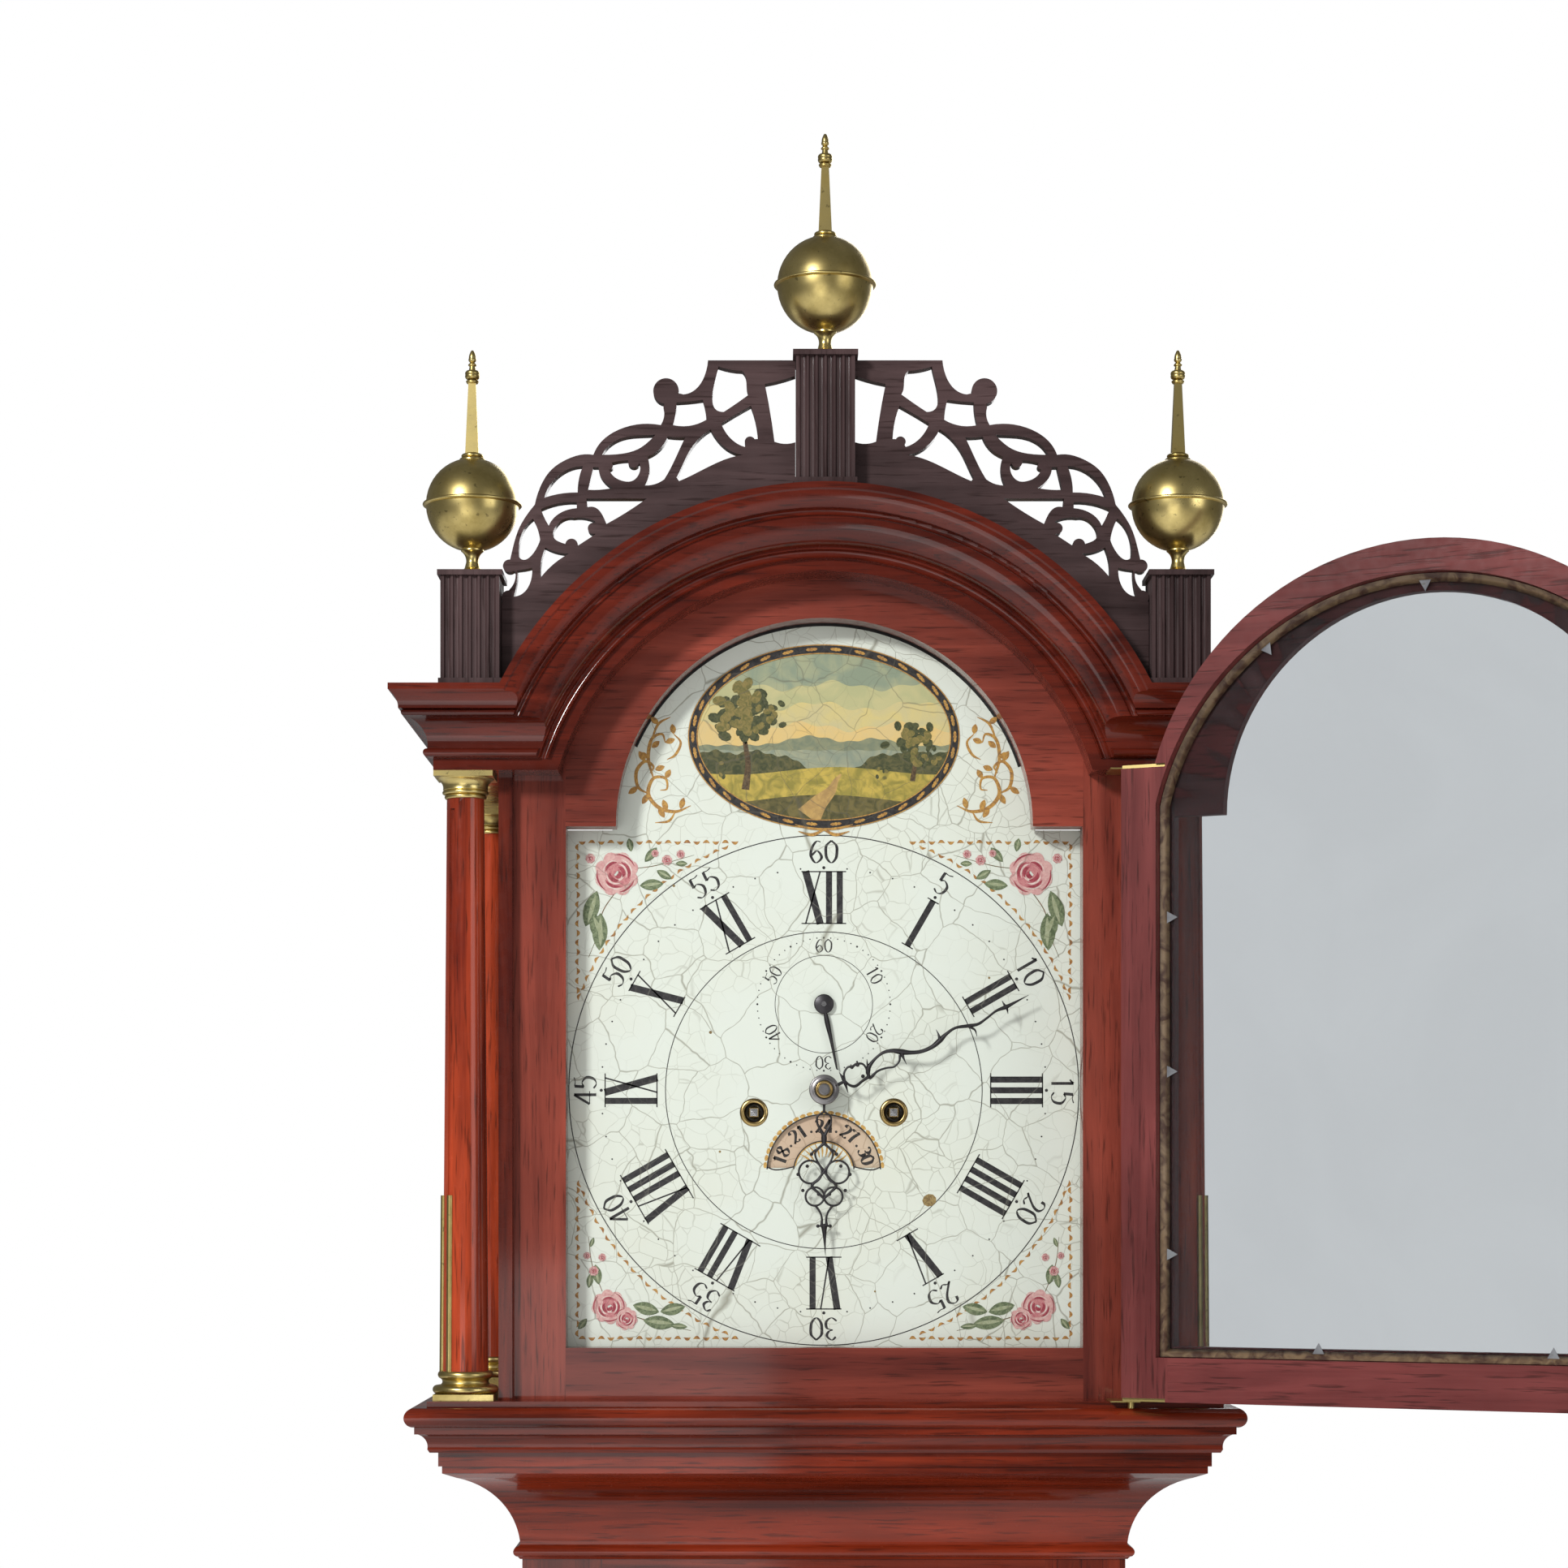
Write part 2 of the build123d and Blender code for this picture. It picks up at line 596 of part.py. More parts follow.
fret_holes = [
    [[(-53, 274), (-47.5, 273.5)], [(-45.5, 270.5), (-45, 265.5), (-43.5, 260)],
     [(-50.5, 255), (-58, 250)], [(-62, 251), (-63.5, 265.5), (-61, 276)]],
    [[(-40, 245.5), (-38.5, 234.5)], [(-42, 234), (-46, 230)],
     [(-50.5, 232), (-57, 238.5), (-59.5, 243.5)], [(-50.5, 249), (-42.5, 253.5)]],
    [[(-78, 256), (-70, 257)], [(-68.5, 251), (-68, 245.5)], [(-78, 242), (-87, 242.5)],
     [(-85.5, 249), (-85, 255.5)]],
    [[(-62, 234.5), (-55.5, 228.5), (-47, 225.5)], [(-59.5, 222), (-69, 217.5), (-83.5, 210.5)],
     [(-85, 212.5)], [(-82.5, 217.5), (-78, 227), (-71.5, 235.5), (-65.5, 240)]],
    [[(-84, 235.5), (-80, 235.5)], [(-84, 227), (-88, 218.5), (-92, 211.5)],
     [(-96.5, 209), (-103, 208)], [(-101, 213), (-101.5, 224.5)], [(-94, 229.5), (-90, 236)]],
    [[(-101, 233), (-106.5, 229), (-114, 226.5), (-127.5, 225.5)],
     [(-124, 230.5), (-116.5, 235), (-108, 236.5), (-97, 237)]],
    [[(-117.5, 222), (-107, 222)], [(-106.5, 214.5), (-110.5, 210.5), (-115.5, 210.5),
     (-120, 212.5), (-123.5, 217)], [(-121.5, 218.5), (-122, 221)]],
    [[(-129.5, 218.5)], [(-128.5, 213.5), (-126, 210), (-121.5, 206.5)],
     [(-129, 205.5), (-135.5, 205.5)], [(-134, 212), (-132.5, 218.5)]],
    [[(-140.5, 213), (-141.5, 204)], [(-150, 203.5), (-160.5, 201)],
     [(-157.5, 208), (-151.5, 214.5), (-145, 218), (-138.5, 219)]],
    [[(-102, 200.5)], [(-113, 193), (-125, 186)], [(-127, 190.5), (-130, 194.5), (-136, 195.5)],
     [(-136.5, 200.5)]],
    [[(-142, 195)], [(-147.5, 194), (-154, 190.5), (-158, 185)], [(-160.5, 189.5), (-162.5, 194.5)],
     [(-154, 197.5), (-142, 198.5)]],
    [[(-137.5, 189.5), (-131.5, 187.5)], [(-131.5, 180)], [(-141.5, 173.5)],
     [(-146, 174), (-152.5, 176)], [(-155.5, 179.5), (-153, 186), (-149, 189), (-144, 189.5)]],
    [[(-164.5, 183.5), (-163, 177)], [(-167, 169), (-172.5, 165.5), (-175, 167)],
     [(-175, 174.5), (-172, 183.5), (-167, 189)]],
    [[(-154, 170), (-146.5, 169)], [(-156.5, 162), (-162.5, 155.5)], [(-162.5, 163.5), (-160, 172.5)]],
    [[(-172, 160), (-167.5, 161)], [(-168, 154.5), (-172, 147), (-178, 144.5)],
     [(-176.5, 151), (-176, 159.5)]],
]


def trace_curves(runs):
    """Draw smooth runs end to end, each from the last point of the one before it."""
    here = runs[-1][-1]
    for run in runs:
        if len(run) == 1:
            Line(here, run[0])
        else:
            Spline(here, *run)
        here = run[-1]


plinth_half = plinth_wide / 2
plinth_foot_high = 3.5
plinth_foot_half = plinth_half + 1.25
plinths = [(-plinth_x, cornice_top, plinth_side_high), (plinth_x, cornice_top, plinth_side_high),
           (0, arch_z + arch_outer, plinth_middle_high)]
with BuildPart() as fretwork:
    inner_x = -plinth_half - fit_gap
    outer_x = -plinth_x + plinth_half + fit_gap
    seat_radius = arch_outer + fit_gap
    inner_z = sqrt(seat_radius ** 2 - inner_x ** 2)
    outer_z = sqrt(seat_radius ** 2 - outer_x ** 2)
    with BuildSketch(facing(0, fret_y, arch_z)) as fret:
        with BuildLine():
            trace_curves([[(inner_x, 279.5)]] + fret_edge + [[(outer_x, 141)], [(outer_x, outer_z)],
                         [(inner_x, outer_z)]])
        make_face()
        for x, z, radius in fret_knobs:
            with Locations((x, z)):
                Circle(radius)
        with Locations((0, outer_z / 2)):
            Rectangle(2 * inner_z, outer_z, mode=Mode.SUBTRACT)
        Circle(seat_radius, mode=Mode.SUBTRACT)
        for hole in fret_holes:
            with BuildSketch(mode=Mode.SUBTRACT):
                with BuildLine():
                    trace_curves(hole)
                make_face()
        with BuildSketch(mode=Mode.SUBTRACT):
            with BuildLine():
                trace_curves([[(inner_x + 1, 233)]] + fret_window + [[(inner_x + 1, 270.5)]])
            make_face()
        for x, z, radius in fret_curls:
            with Locations((x, z)):
                Circle(radius)
        with Locations((outer_x - 20, 150)):
            Rectangle(40, 300, mode=Mode.SUBTRACT)
        for x, z, high in plinths:
            with Locations((x, z - arch_z)):
                Rectangle(2 * (plinth_foot_half + fit_gap), 2 * (plinth_foot_high + fit_gap), mode=Mode.SUBTRACT)
    extrude(amount=fret_thick)
    both_sides()
fretwork.part.label = "fretwork"
export_step(fretwork.part, "parts/fretwork.step")

# Fluted plinths for the finials
flute_count = 6
flute_pitch = (plinth_wide - 3) / flute_count
plinth_cap_high = 3
with BuildPart() as finial_plinths:
    for x, z, high in plinths:
        cap_z = z + high - plinth_cap_high
        low = z - 1 if x == 0 else z
        block(x - plinth_foot_half, x + plinth_foot_half, plinth_y - plinth_foot_half,
              plinth_y + plinth_foot_half, low, z + plinth_foot_high)
        with BuildSketch(Plane.XY.offset(z + plinth_foot_high)) as shaft_section:
            with Locations((x, plinth_y)):
                Rectangle(plinth_wide, plinth_wide)
                for turn in (0, 90, 180, 270):
                    with PolarLocations(plinth_half, 1, start_angle=turn):
                        with GridLocations(1, flute_pitch, 1, flute_count):
                            Circle(flute_pitch * 0.38, mode=Mode.SUBTRACT)
        extrude(amount=cap_z - z - plinth_foot_high)
        block(x - plinth_cap / 2, x + plinth_cap / 2, plinth_y - plinth_cap / 2,
              plinth_y + plinth_cap / 2, cap_z, z + high)
    shaft(0, arch_z, plinth_y - 40, plinth_y + 40, arch_outer + 0.2, mode=Mode.SUBTRACT)
finial_plinths.part.label = "finial_plinths"
export_step(finial_plinths.part, "parts/finial_plinths.step")

# Brass finials: turned foot and ball, square spire and turned tip
finial_stem = 13.5
with BuildPart() as finials:
    for x, z, high in plinths:
        ball = ball_middle if x == 0 else ball_side
        spire = 38 if x == 0 else 41
        foot_z = z + high
        centre = finial_stem + ball
        ball_top = finial_stem + 2 * ball
        turned(x, plinth_y, foot_z, [(8, 0, 0), (8, 1.5, 0), (4.4, 4, -0.5), (3.6, 7, 0), (6.5, finial_stem, -1),
                                     (6.5, finial_stem + 2, 0)])
        with Locations((x, plinth_y, foot_z + centre)):
            Sphere(ball)
        turned(x, plinth_y, foot_z + centre - 1.2, [(ball, 0, 0), (ball + 1.3, 0.4, 0), (ball + 1.3, 2, 0.6),
                                                    (ball, 2.4, 0)])
        turned(x, plinth_y, foot_z + ball_top - 2, [(7, 0, 0), (7, 2, 0.5), (5.5, 2.5, 0), (5.5, 4.5, 0.8),
                                                    (4.5, 5, 0)])
        spire_low = foot_z + ball_top + 2.5
        with BuildSketch(Plane.XY.offset(spire_low)) as spire_foot:
            with Locations((x, plinth_y)):
                Rectangle(7.6, 7.6)
        with BuildSketch(Plane.XY.offset(spire_low + spire)) as spire_tip:
            with Locations((x, plinth_y)):
                Rectangle(4.2, 4.2)
        loft()
        turned(x, plinth_y, spire_low + spire - 0.5, [(2.6, 0, 0), (3.4, 0.8, 0.3), (3.4, 1.6, 0.3), (2, 2.2, 0),
                                                      (4, 5, 1), (2, 7.5, 1), (1.6, 10, 0), (2.3, 11, 0.4),
                                                      (1.2, 12.2, 0), (2, 14.5, 0.6), (0.6, 19, 0.4)])
finials.part.label = "finials"
export_step(finials.part, "parts/finials.step")

# Free standing hood columns
shaft_low = 16.7
shaft_high = 346.7
shaft_low_radius = 13.3
shaft_high_radius = 10.8
flute_radius = 1.9
stop_high = 118
columns = [(column_x, column_front_y, (-50, -10, 30)), (column_x, column_back_y, (-30, 10, 50))]


def along_flute(x, y, angle, height):
    """A point on the surface of a column's shaft at a height above the deck."""
    share = (height - shaft_low) / (shaft_high - shaft_low)
    radius = shaft_low_radius + (shaft_high_radius - shaft_low_radius) * share
    return (x + radius * cos(radians(angle)), y + radius * sin(radians(angle)), deck_z + height)


with BuildPart() as hood_columns:
    for x, y, angles in columns:
        turned(x, y, deck_z, [(shaft_low_radius, shaft_low, 0), (shaft_high_radius, shaft_high, 0)])
        for angle in angles:
            bar(along_flute(x, y, angle, shaft_low), along_flute(x, y, angle, shaft_high - 6), flute_radius,
                mode=Mode.SUBTRACT)
    both_sides()
hood_columns.part.label = "hood_columns"
export_step(hood_columns.part, "parts/hood_columns.step")

column_base = [(16.8, 3.7, 0), (16.8, 8.5, 2.2), (14.6, 8.8, 0), (14.2, 12.2, -1), (14.8, 12.5, 0),
               (14.8, shaft_low, 1.2)]
column_cap = [(11.4, shaft_high, 0), (11.4, 349, 0.7), (12.6, 349.3, 0), (12.6, 351.5, 0.8), (13, 352, 0),
              (16.2, 358, -1.2), (16.6, column_high - 3.2, 0)]
with BuildPart() as column_brasses:
    for x, y, angles in columns:
        block(x - 17.4, x + 17.4, y - 17.4, y + 17.4, deck_z, deck_z + 3.7)
        turned(x, y, deck_z, column_base)
        turned(x, y, deck_z, column_cap)
        block(x - 17, x + 17, y - 17, y + 17, cornice_z - 3.2, cornice_z)
        for angle in angles:
            bar(along_flute(x, y, angle, shaft_low), along_flute(x, y, angle, stop_high),
                flute_radius - 0.1)
    both_sides()
column_brasses.part.label = "column_brasses"
export_step(column_brasses.part, "parts/column_brasses.step")

# Hood door, built in its open position on planes that turn about its pivots
door_low_z = deck_z + door_foot_gap
door_shoulder = cornice_z - door_head_gap
door_radius = arch_radius - door_arch_gap
door_back = door_front + door_thick
turn_cos = cos(radians(door_open))
turn_sin = sin(radians(door_open))


def in_door(x, y, z):
    """The open position of a point given where it lies with the door shut."""
    across = x - pivot_x
    along = y - pivot_y
    return (pivot_x + across * turn_cos - along * turn_sin,
            pivot_y + across * turn_sin + along * turn_cos, z)


def door_sheet(y):
    """The plane of the door's section at a depth y of the shut door, facing its front."""
    return Plane(origin=in_door(0, y, 0), x_dir=(turn_cos, turn_sin, 0), z_dir=(turn_sin, -turn_cos, 0))


rabbet_half = door_half - door_stile
rabbet_radius = door_radius - 2.5
rabbet_centre = arch_z - 15
rabbet_spring = rabbet_centre + sqrt(rabbet_radius ** 2 - rabbet_half ** 2)
rabbet_low = door_low_z + door_rail
sight_half = rabbet_half - door_lip
sight_low = rabbet_low + 6
sight_spring = arch_z + door_sight_spring
strap_face = door_low_z - 0.2
with BuildPart() as door_frame:
    extrude(arched(door_sheet(door_back), door_half, door_low_z, door_shoulder, arch_z, door_radius),
            amount=door_thick)
    extrude(arched(door_sheet(door_back), sight_half, sight_low, sight_spring, sight_spring,
                   door_sight_radius), amount=door_thick, mode=Mode.SUBTRACT)
    with BuildSketch(door_sheet(door_back)) as rabbet:
        with Locations((0, rabbet_centre)):
            Circle(rabbet_radius)
        with Locations((0, (rabbet_low + rabbet_centre) / 2)):
            Rectangle(2 * rabbet_half, rabbet_centre - rabbet_low)
        with Locations((0, (rabbet_low + sky) / 2)):
            Rectangle(2 * rabbet_half, sky - rabbet_low, mode=Mode.INTERSECT)
    extrude(amount=door_thick - door_lip_thick, mode=Mode.SUBTRACT)
    for z in (door_low_z, door_shoulder - strap_thick):
        with BuildSketch(door_sheet(door_back)) as recess:
            with Locations((door_half - strap_long / 2 + 1, z + strap_thick / 2)):
                Rectangle(strap_long + 2, strap_thick)
        extrude(amount=door_thick, mode=Mode.SUBTRACT)
door_frame.part.label = "door_frame"
export_step(door_frame.part, "parts/door_frame.step")

with BuildPart() as door_glass:
    glass_plane = door_sheet(door_front + door_lip_thick + glass_thick)
    with BuildSketch(glass_plane) as pane:
        with Locations((0, rabbet_centre)):
            Circle(rabbet_radius - glass_gap)
        with Locations((0, (rabbet_low + glass_gap + rabbet_centre) / 2)):
            Rectangle(2 * (rabbet_half - glass_gap), rabbet_centre - rabbet_low - glass_gap)
        with Locations((0, (rabbet_low + glass_gap + sky) / 2)):
            Rectangle(2 * (rabbet_half - glass_gap), sky - rabbet_low - glass_gap, mode=Mode.INTERSECT)
    extrude(amount=glass_thick)
door_glass.part.label = "door_glass"
export_step(door_glass.part, "parts/door_glass.step")

strap_end = pivot_radius + 2.2
with BuildPart() as door_straps:
    for z in (door_low_z, door_shoulder - strap_thick):
        with BuildSketch(Plane.XY.offset(z)) as strap:
            with BuildLine():
                corners = [(door_half - strap_long, door_front + 4), (door_half, door_front + 0.5),
                           (pivot_x, pivot_y - strap_end), (pivot_x + strap_end, pivot_y),
                           (door_half, door_back - 2), (door_half - strap_long, door_back - 2)]
                Polyline(*[in_door(x, y, 0)[:2] for x, y in corners], close=True)
            make_face()
            with Locations((pivot_x, pivot_y)):
                Circle(strap_end)
                Circle(pivot_radius + run_gap, mode=Mode.SUBTRACT)
        extrude(amount=strap_thick)
door_straps.part.label = "door_straps"
export_step(door_straps.part, "parts/door_straps.step")

with BuildPart() as door_pivots:
    for face_z, pin_low, pin_high in (
            (deck_z, deck_z - 3.4, door_low_z + strap_thick + 1),
            (cornice_z - pivot_plate, door_shoulder - strap_thick - 1, cornice_z)):
        block(pivot_x - 12, pivot_x + 5, pivot_y - 4, pivot_y + 24, face_z, face_z + pivot_plate)
        post(pivot_x, pivot_y, pin_low, pin_high, pivot_radius)
door_pivots.part.label = "door_pivots"
export_step(door_pivots.part, "parts/door_pivots.step")

# Seatboard, slotted for the pendulum and the lines
seat_top = seat_z + seat_thick
line_x = barrel_x + barrel_radius + fit_gap + line_radius
far_line_x = 2 * pulley_x - line_x
with BuildPart() as seatboard:
    block(-waist_half, waist_half, -50, backboard_front, seat_z, seat_top)
    block(-14, 14, pendulum_y - 12, pendulum_y + 12, seat_z - 1, seat_top + 1, mode=Mode.SUBTRACT)
    for side in (-1, 1):
        block(side * line_x - 5, side * line_x + 5, -16, 12, seat_z - 1, seat_top + 1, mode=Mode.SUBTRACT)
        post(side * far_line_x, 0, seat_z - 1, seat_top + 1, line_radius + fit_gap, mode=Mode.SUBTRACT)
seatboard.part.label = "seatboard"
export_step(seatboard.part, "parts/seatboard.step")

# Wheel train: teeth, pinions and the arbors they turn on
great_teeth = 96
strike_teeth = 84
pinion_teeth = 8
centre_teeth = 60
centre_module = 0.8
third_teeth = 56
third_module = 0.75
escape_pinion = 7
escape_teeth = 30
escape_radius = 22
motion_teeth = 36
motion_module = 0.8
hour_teeth = 72
hour_pinion = 6
barrel_z = dial_z - barrel_drop
great_reach = hypot(barrel_x, barrel_drop)
great_module = 2 * great_reach / (great_teeth + pinion_teeth)
centre_reach = centre_module * (centre_teeth + pinion_teeth) / 2
third_reach = third_module * (third_teeth + escape_pinion) / 2
escape_z = dial_z + seconds_up
third_up = (centre_reach ** 2 - third_reach ** 2 + seconds_up ** 2) / (2 * seconds_up)
third_x = sqrt(centre_reach ** 2 - third_up ** 2)
third_z = dial_z + third_up
motion_reach = motion_module * motion_teeth
motion_angle = 225
minute_x = motion_reach * cos(radians(motion_angle))
minute_z = dial_z + motion_reach * sin(radians(motion_angle))
hour_module = 2 * motion_reach / (hour_teeth + hour_pinion)
strike_reach = great_module * (strike_teeth + pinion_teeth) / 2
strike_angle = 100
pin_x = -barrel_x + strike_reach * cos(radians(strike_angle))
pin_z = barrel_z + strike_reach * sin(radians(strike_angle))
pallet_z = dial_z + pallet_up
hammer_x = -52
hammer_z = dial_z + 65
plate_foot = seat_top
inside_front = plate_front + plate_thick
inside_back = plate_back - plate_thick


def toward(x0, z0, x1, z1):
    """The angle at which one arbor sees another."""
    return degrees(atan2(z1 - z0, x1 - x0))


def tooth_steps(teeth, module, angle, add, drop, root_share, tip_share, shift):
    """Straight sided teeth; shift 0 points a tooth at the angle, and 0.5 points a gap at it."""
    tip = module * (teeth / 2 + add)
    root = module * (teeth / 2 - drop)
    steps = []
    for index in range(teeth):
        middle = radians(angle) + 2 * pi * (index + shift) / teeth
        for radius, share in ((root, -root_share), (tip, -tip_share), (tip, tip_share), (root, root_share)):
            place = middle + 2 * pi * share / teeth
            steps.append((radius * cos(place), radius * sin(place), 0))
    return steps


def wheel(x, z, y0, y1, teeth, module, angle, bore=0, arms=0):
    """A wheel with a tooth on the line of centres, crossed out between its arms."""
    with BuildSketch(facing(x, y1, z)) as face:
        with BuildLine():
            trace(tooth_steps(teeth, module, angle, 0.75, 1.1, 0.27, 0.11, 0))
        make_face()
        if arms:
            rim = module * (teeth / 2 - 1.1) - 1.8
            Circle(rim, mode=Mode.SUBTRACT)
            for turn in range(arms):
                Rectangle(2 * rim + 1, 2.4, rotation=180 * turn / arms)
            Circle(rim * 0.3)
        if bore:
            Circle(bore, mode=Mode.SUBTRACT)
    extrude(face.sketch, amount=y1 - y0)


def pinion(x, z, y0, y1, teeth, module, angle):
    """A pinion with a gap on the line of centres."""
    steps = tooth_steps(teeth, module, angle, 0.55, 1.05, 0.2, 0.09, 0.5)
    extrude(drawn(facing(x, y1, z), steps), amount=y1 - y0)


great_front = inside_front + 6
great_back = great_front + 2.5
with BuildPart() as going_great_wheel:
    wheel(barrel_x, barrel_z, great_front, great_back, great_teeth, great_module,
          toward(barrel_x, barrel_z, 0, dial_z), bore=5 + run_gap)
going_great_wheel.part.label = "going_great_wheel"
export_step(going_great_wheel.part, "parts/going_great_wheel.step")

with BuildPart() as strike_great_wheel:
    wheel(-barrel_x, barrel_z, great_front, great_back, strike_teeth, great_module,
          toward(-barrel_x, barrel_z, pin_x, pin_z), bore=5 + run_gap)
strike_great_wheel.part.label = "strike_great_wheel"
export_step(strike_great_wheel.part, "parts/strike_great_wheel.step")

arbor_radius = 2.5
cannon_radius = 4
hand_seat = -74
cannon_front = plate_front - 7
with BuildPart() as centre_arbor:
    shaft(0, dial_z, hand_seat - 8, plate_back, arbor_radius)
    shaft(0, dial_z, hand_seat, plate_front - 2, cannon_radius)
    wheel(0, dial_z, cannon_front, cannon_front + 3, motion_teeth, motion_module,
          toward(0, dial_z, minute_x, minute_z))
    pinion(0, dial_z, great_front - 1, great_back + 1, pinion_teeth, great_module,
           toward(0, dial_z, barrel_x, barrel_z))
    wheel(0, dial_z, inside_front + 1.5, inside_front + 3, centre_teeth, centre_module,
          toward(0, dial_z, third_x, third_z), arms=2)
    shaft(0, dial_z, hand_seat - 4, hand_seat - 2, 5)
centre_arbor.part.label = "centre_arbor"
export_step(centre_arbor.part, "parts/centre_arbor.step")

third_y = -10
with BuildPart() as third_arbor:
    shaft(third_x, third_z, plate_front, plate_back, 1.6)
    pinion(third_x, third_z, inside_front + 0.5, inside_front + 5, pinion_teeth, centre_module,
           toward(third_x, third_z, 0, dial_z))
    wheel(third_x, third_z, third_y, third_y + 1.5, third_teeth, third_module,
          toward(third_x, third_z, 0, escape_z), arms=2)
third_arbor.part.label = "third_arbor"
export_step(third_arbor.part, "parts/third_arbor.step")

escape_y = 8
seconds_seat = dial_front - 2.5
with BuildPart() as escape_arbor:
    shaft(0, escape_z, seconds_seat - 1.5, plate_back, 1.5)
    pinion(0, escape_z, third_y - 1, third_y + 2.5, escape_pinion, third_module,
           toward(0, escape_z, third_x, third_z))
    with BuildSketch(facing(0, escape_y + 1.5, escape_z)) as escape_wheel:
        with BuildLine():
            points = []
            for index in range(escape_teeth):
                start = 2 * pi * index / escape_teeth
                for radius, lead in ((18, 0.05), (escape_radius, 0.62), (escape_radius, 0.68), (18, 0.75)):
                    place = start + 2 * pi * lead / escape_teeth
                    points.append((radius * cos(place), radius * sin(place), 0))
            trace(points)
        make_face()
        Circle(15.5, mode=Mode.SUBTRACT)
        Rectangle(32, 2.4)
        Rectangle(2.4, 32)
        Circle(5)
    extrude(amount=1.5)
escape_arbor.part.label = "escape_arbor"
export_step(escape_arbor.part, "parts/escape_arbor.step")

with BuildPart() as minute_wheel:
    shaft(minute_x, minute_z, plate_front - 15, plate_front, 1.6)
    wheel(minute_x, minute_z, cannon_front, cannon_front + 3, motion_teeth, motion_module,
          toward(minute_x, minute_z, 0, dial_z) + 180 / motion_teeth)
    pinion(minute_x, minute_z, cannon_front - 5, cannon_front, hour_pinion, hour_module,
           toward(minute_x, minute_z, 0, dial_z))
minute_wheel.part.label = "minute_wheel"
export_step(minute_wheel.part, "parts/minute_wheel.step")

hour_seat = -70
with BuildPart() as hour_wheel:
    wheel(0, dial_z, cannon_front - 4.5, cannon_front - 2.5, hour_teeth, hour_module,
          toward(0, dial_z, minute_x, minute_z), bore=cannon_radius + run_gap)
    shaft(0, dial_z, hour_seat - 1.5, cannon_front - 2.5, 5.4)
    shaft(0, dial_z, hour_seat - 2, cannon_front - 2, cannon_radius + run_gap, mode=Mode.SUBTRACT)
hour_wheel.part.label = "hour_wheel"
export_step(hour_wheel.part, "parts/hour_wheel.step")

with BuildPart() as pin_wheel:
    shaft(pin_x, pin_z, plate_front, plate_back, 1.8)
    pinion(pin_x, pin_z, great_front - 1, great_back + 1, pinion_teeth, great_module,
           toward(pin_x, pin_z, -barrel_x, barrel_z))
    shaft(pin_x, pin_z, inside_back - 6, inside_back - 4.5, 18)
    for index in range(8):
        place = 2 * pi * index / 8
        shaft(pin_x + 14 * cos(place), pin_z + 14 * sin(place), inside_back - 10, inside_back - 5, 1.2)
pin_wheel.part.label = "pin_wheel"
export_step(pin_wheel.part, "parts/pin_wheel.step")

head_face = -bell_radius - 1.3
head_z = bell_z + 4
with BuildPart() as hammer:
    shaft(hammer_x, hammer_z, plate_front, plate_back, 2)
    post(hammer_x, 0, hammer_z - 20, head_z, 1.5)
    bar((hammer_x - 6, 0, head_z), (head_face, 0, head_z), 5)
hammer.part.label = "hammer"
export_step(hammer.part, "parts/hammer.step")

with BuildPart() as pallet_arbor:
    shaft(0, pallet_z, plate_front, plate_back + 14, 1.5)
    pallet_right = [(0, 5), (8, 4), (18, -3), (22, -12), (19.5, -15.5), (17, -11), (12, -5), (0, -4)]
    pallet_left = [(-x, z) for x, z in reversed(pallet_right[1:-1])]
    extrude(drawn(facing(0, escape_y + 4, pallet_z), straight(pallet_right + pallet_left)), amount=6)
    crutch_y = plate_back + 11.5
    crutch_low = pallet_z - 144
    shaft(0, pallet_z, crutch_y, crutch_y + 2, 3.5)
    block(-1.5, 1.5, crutch_y, crutch_y + 2, crutch_low, pallet_z)
    prong = rod_radius + fit_gap
    block(-prong - 2, prong + 2, crutch_y, pendulum_y + 6, crutch_low, crutch_low + 3)
    block(-prong, prong, crutch_y + 4, pendulum_y + 7, crutch_low - 1, crutch_low + 4, mode=Mode.SUBTRACT)
pallet_arbor.part.label = "pallet_arbor"
export_step(pallet_arbor.part, "parts/pallet_arbor.step")

# Plates with their pillars, and the cock that carries the pendulum
pillar_x = plate_half - 9
bearings = [(0, dial_z, arbor_radius), (third_x, third_z, 1.6), (0, escape_z, 1.5), (pin_x, pin_z, 1.8),
            (hammer_x, hammer_z, 2), (barrel_x, barrel_z, 5), (-barrel_x, barrel_z, 5)]
with BuildPart() as movement_plates:
    for face in (plate_front, plate_back - plate_thick):
        block(-plate_half, plate_half, face, face + plate_thick, plate_foot, plate_foot + plate_high)
    for x, z in ((pillar_x, plate_foot + 9), (pillar_x - 32, plate_foot + plate_high - 9)):
        for side in (-1, 1):
            shaft(side * x, z, inside_front, inside_back, 5)
            shaft(side * x, z, plate_front - 3, plate_back + 3, 3)
    for x, z, radius in bearings:
        shaft(x, z, plate_front - 1, plate_back + 1, radius + run_gap, mode=Mode.SUBTRACT)
    shaft(0, pallet_z, plate_front - 1, inside_front + 1, 1.5 + run_gap, mode=Mode.SUBTRACT)
    shaft(0, pallet_z, inside_back - 1, plate_back + 1, 5, mode=Mode.SUBTRACT)
    shaft(minute_x, minute_z, plate_front - 1, inside_front + 1, 1.6 + run_gap, mode=Mode.SUBTRACT)
movement_plates.part.label = "movement_plates"
export_step(movement_plates.part, "parts/movement_plates.step")

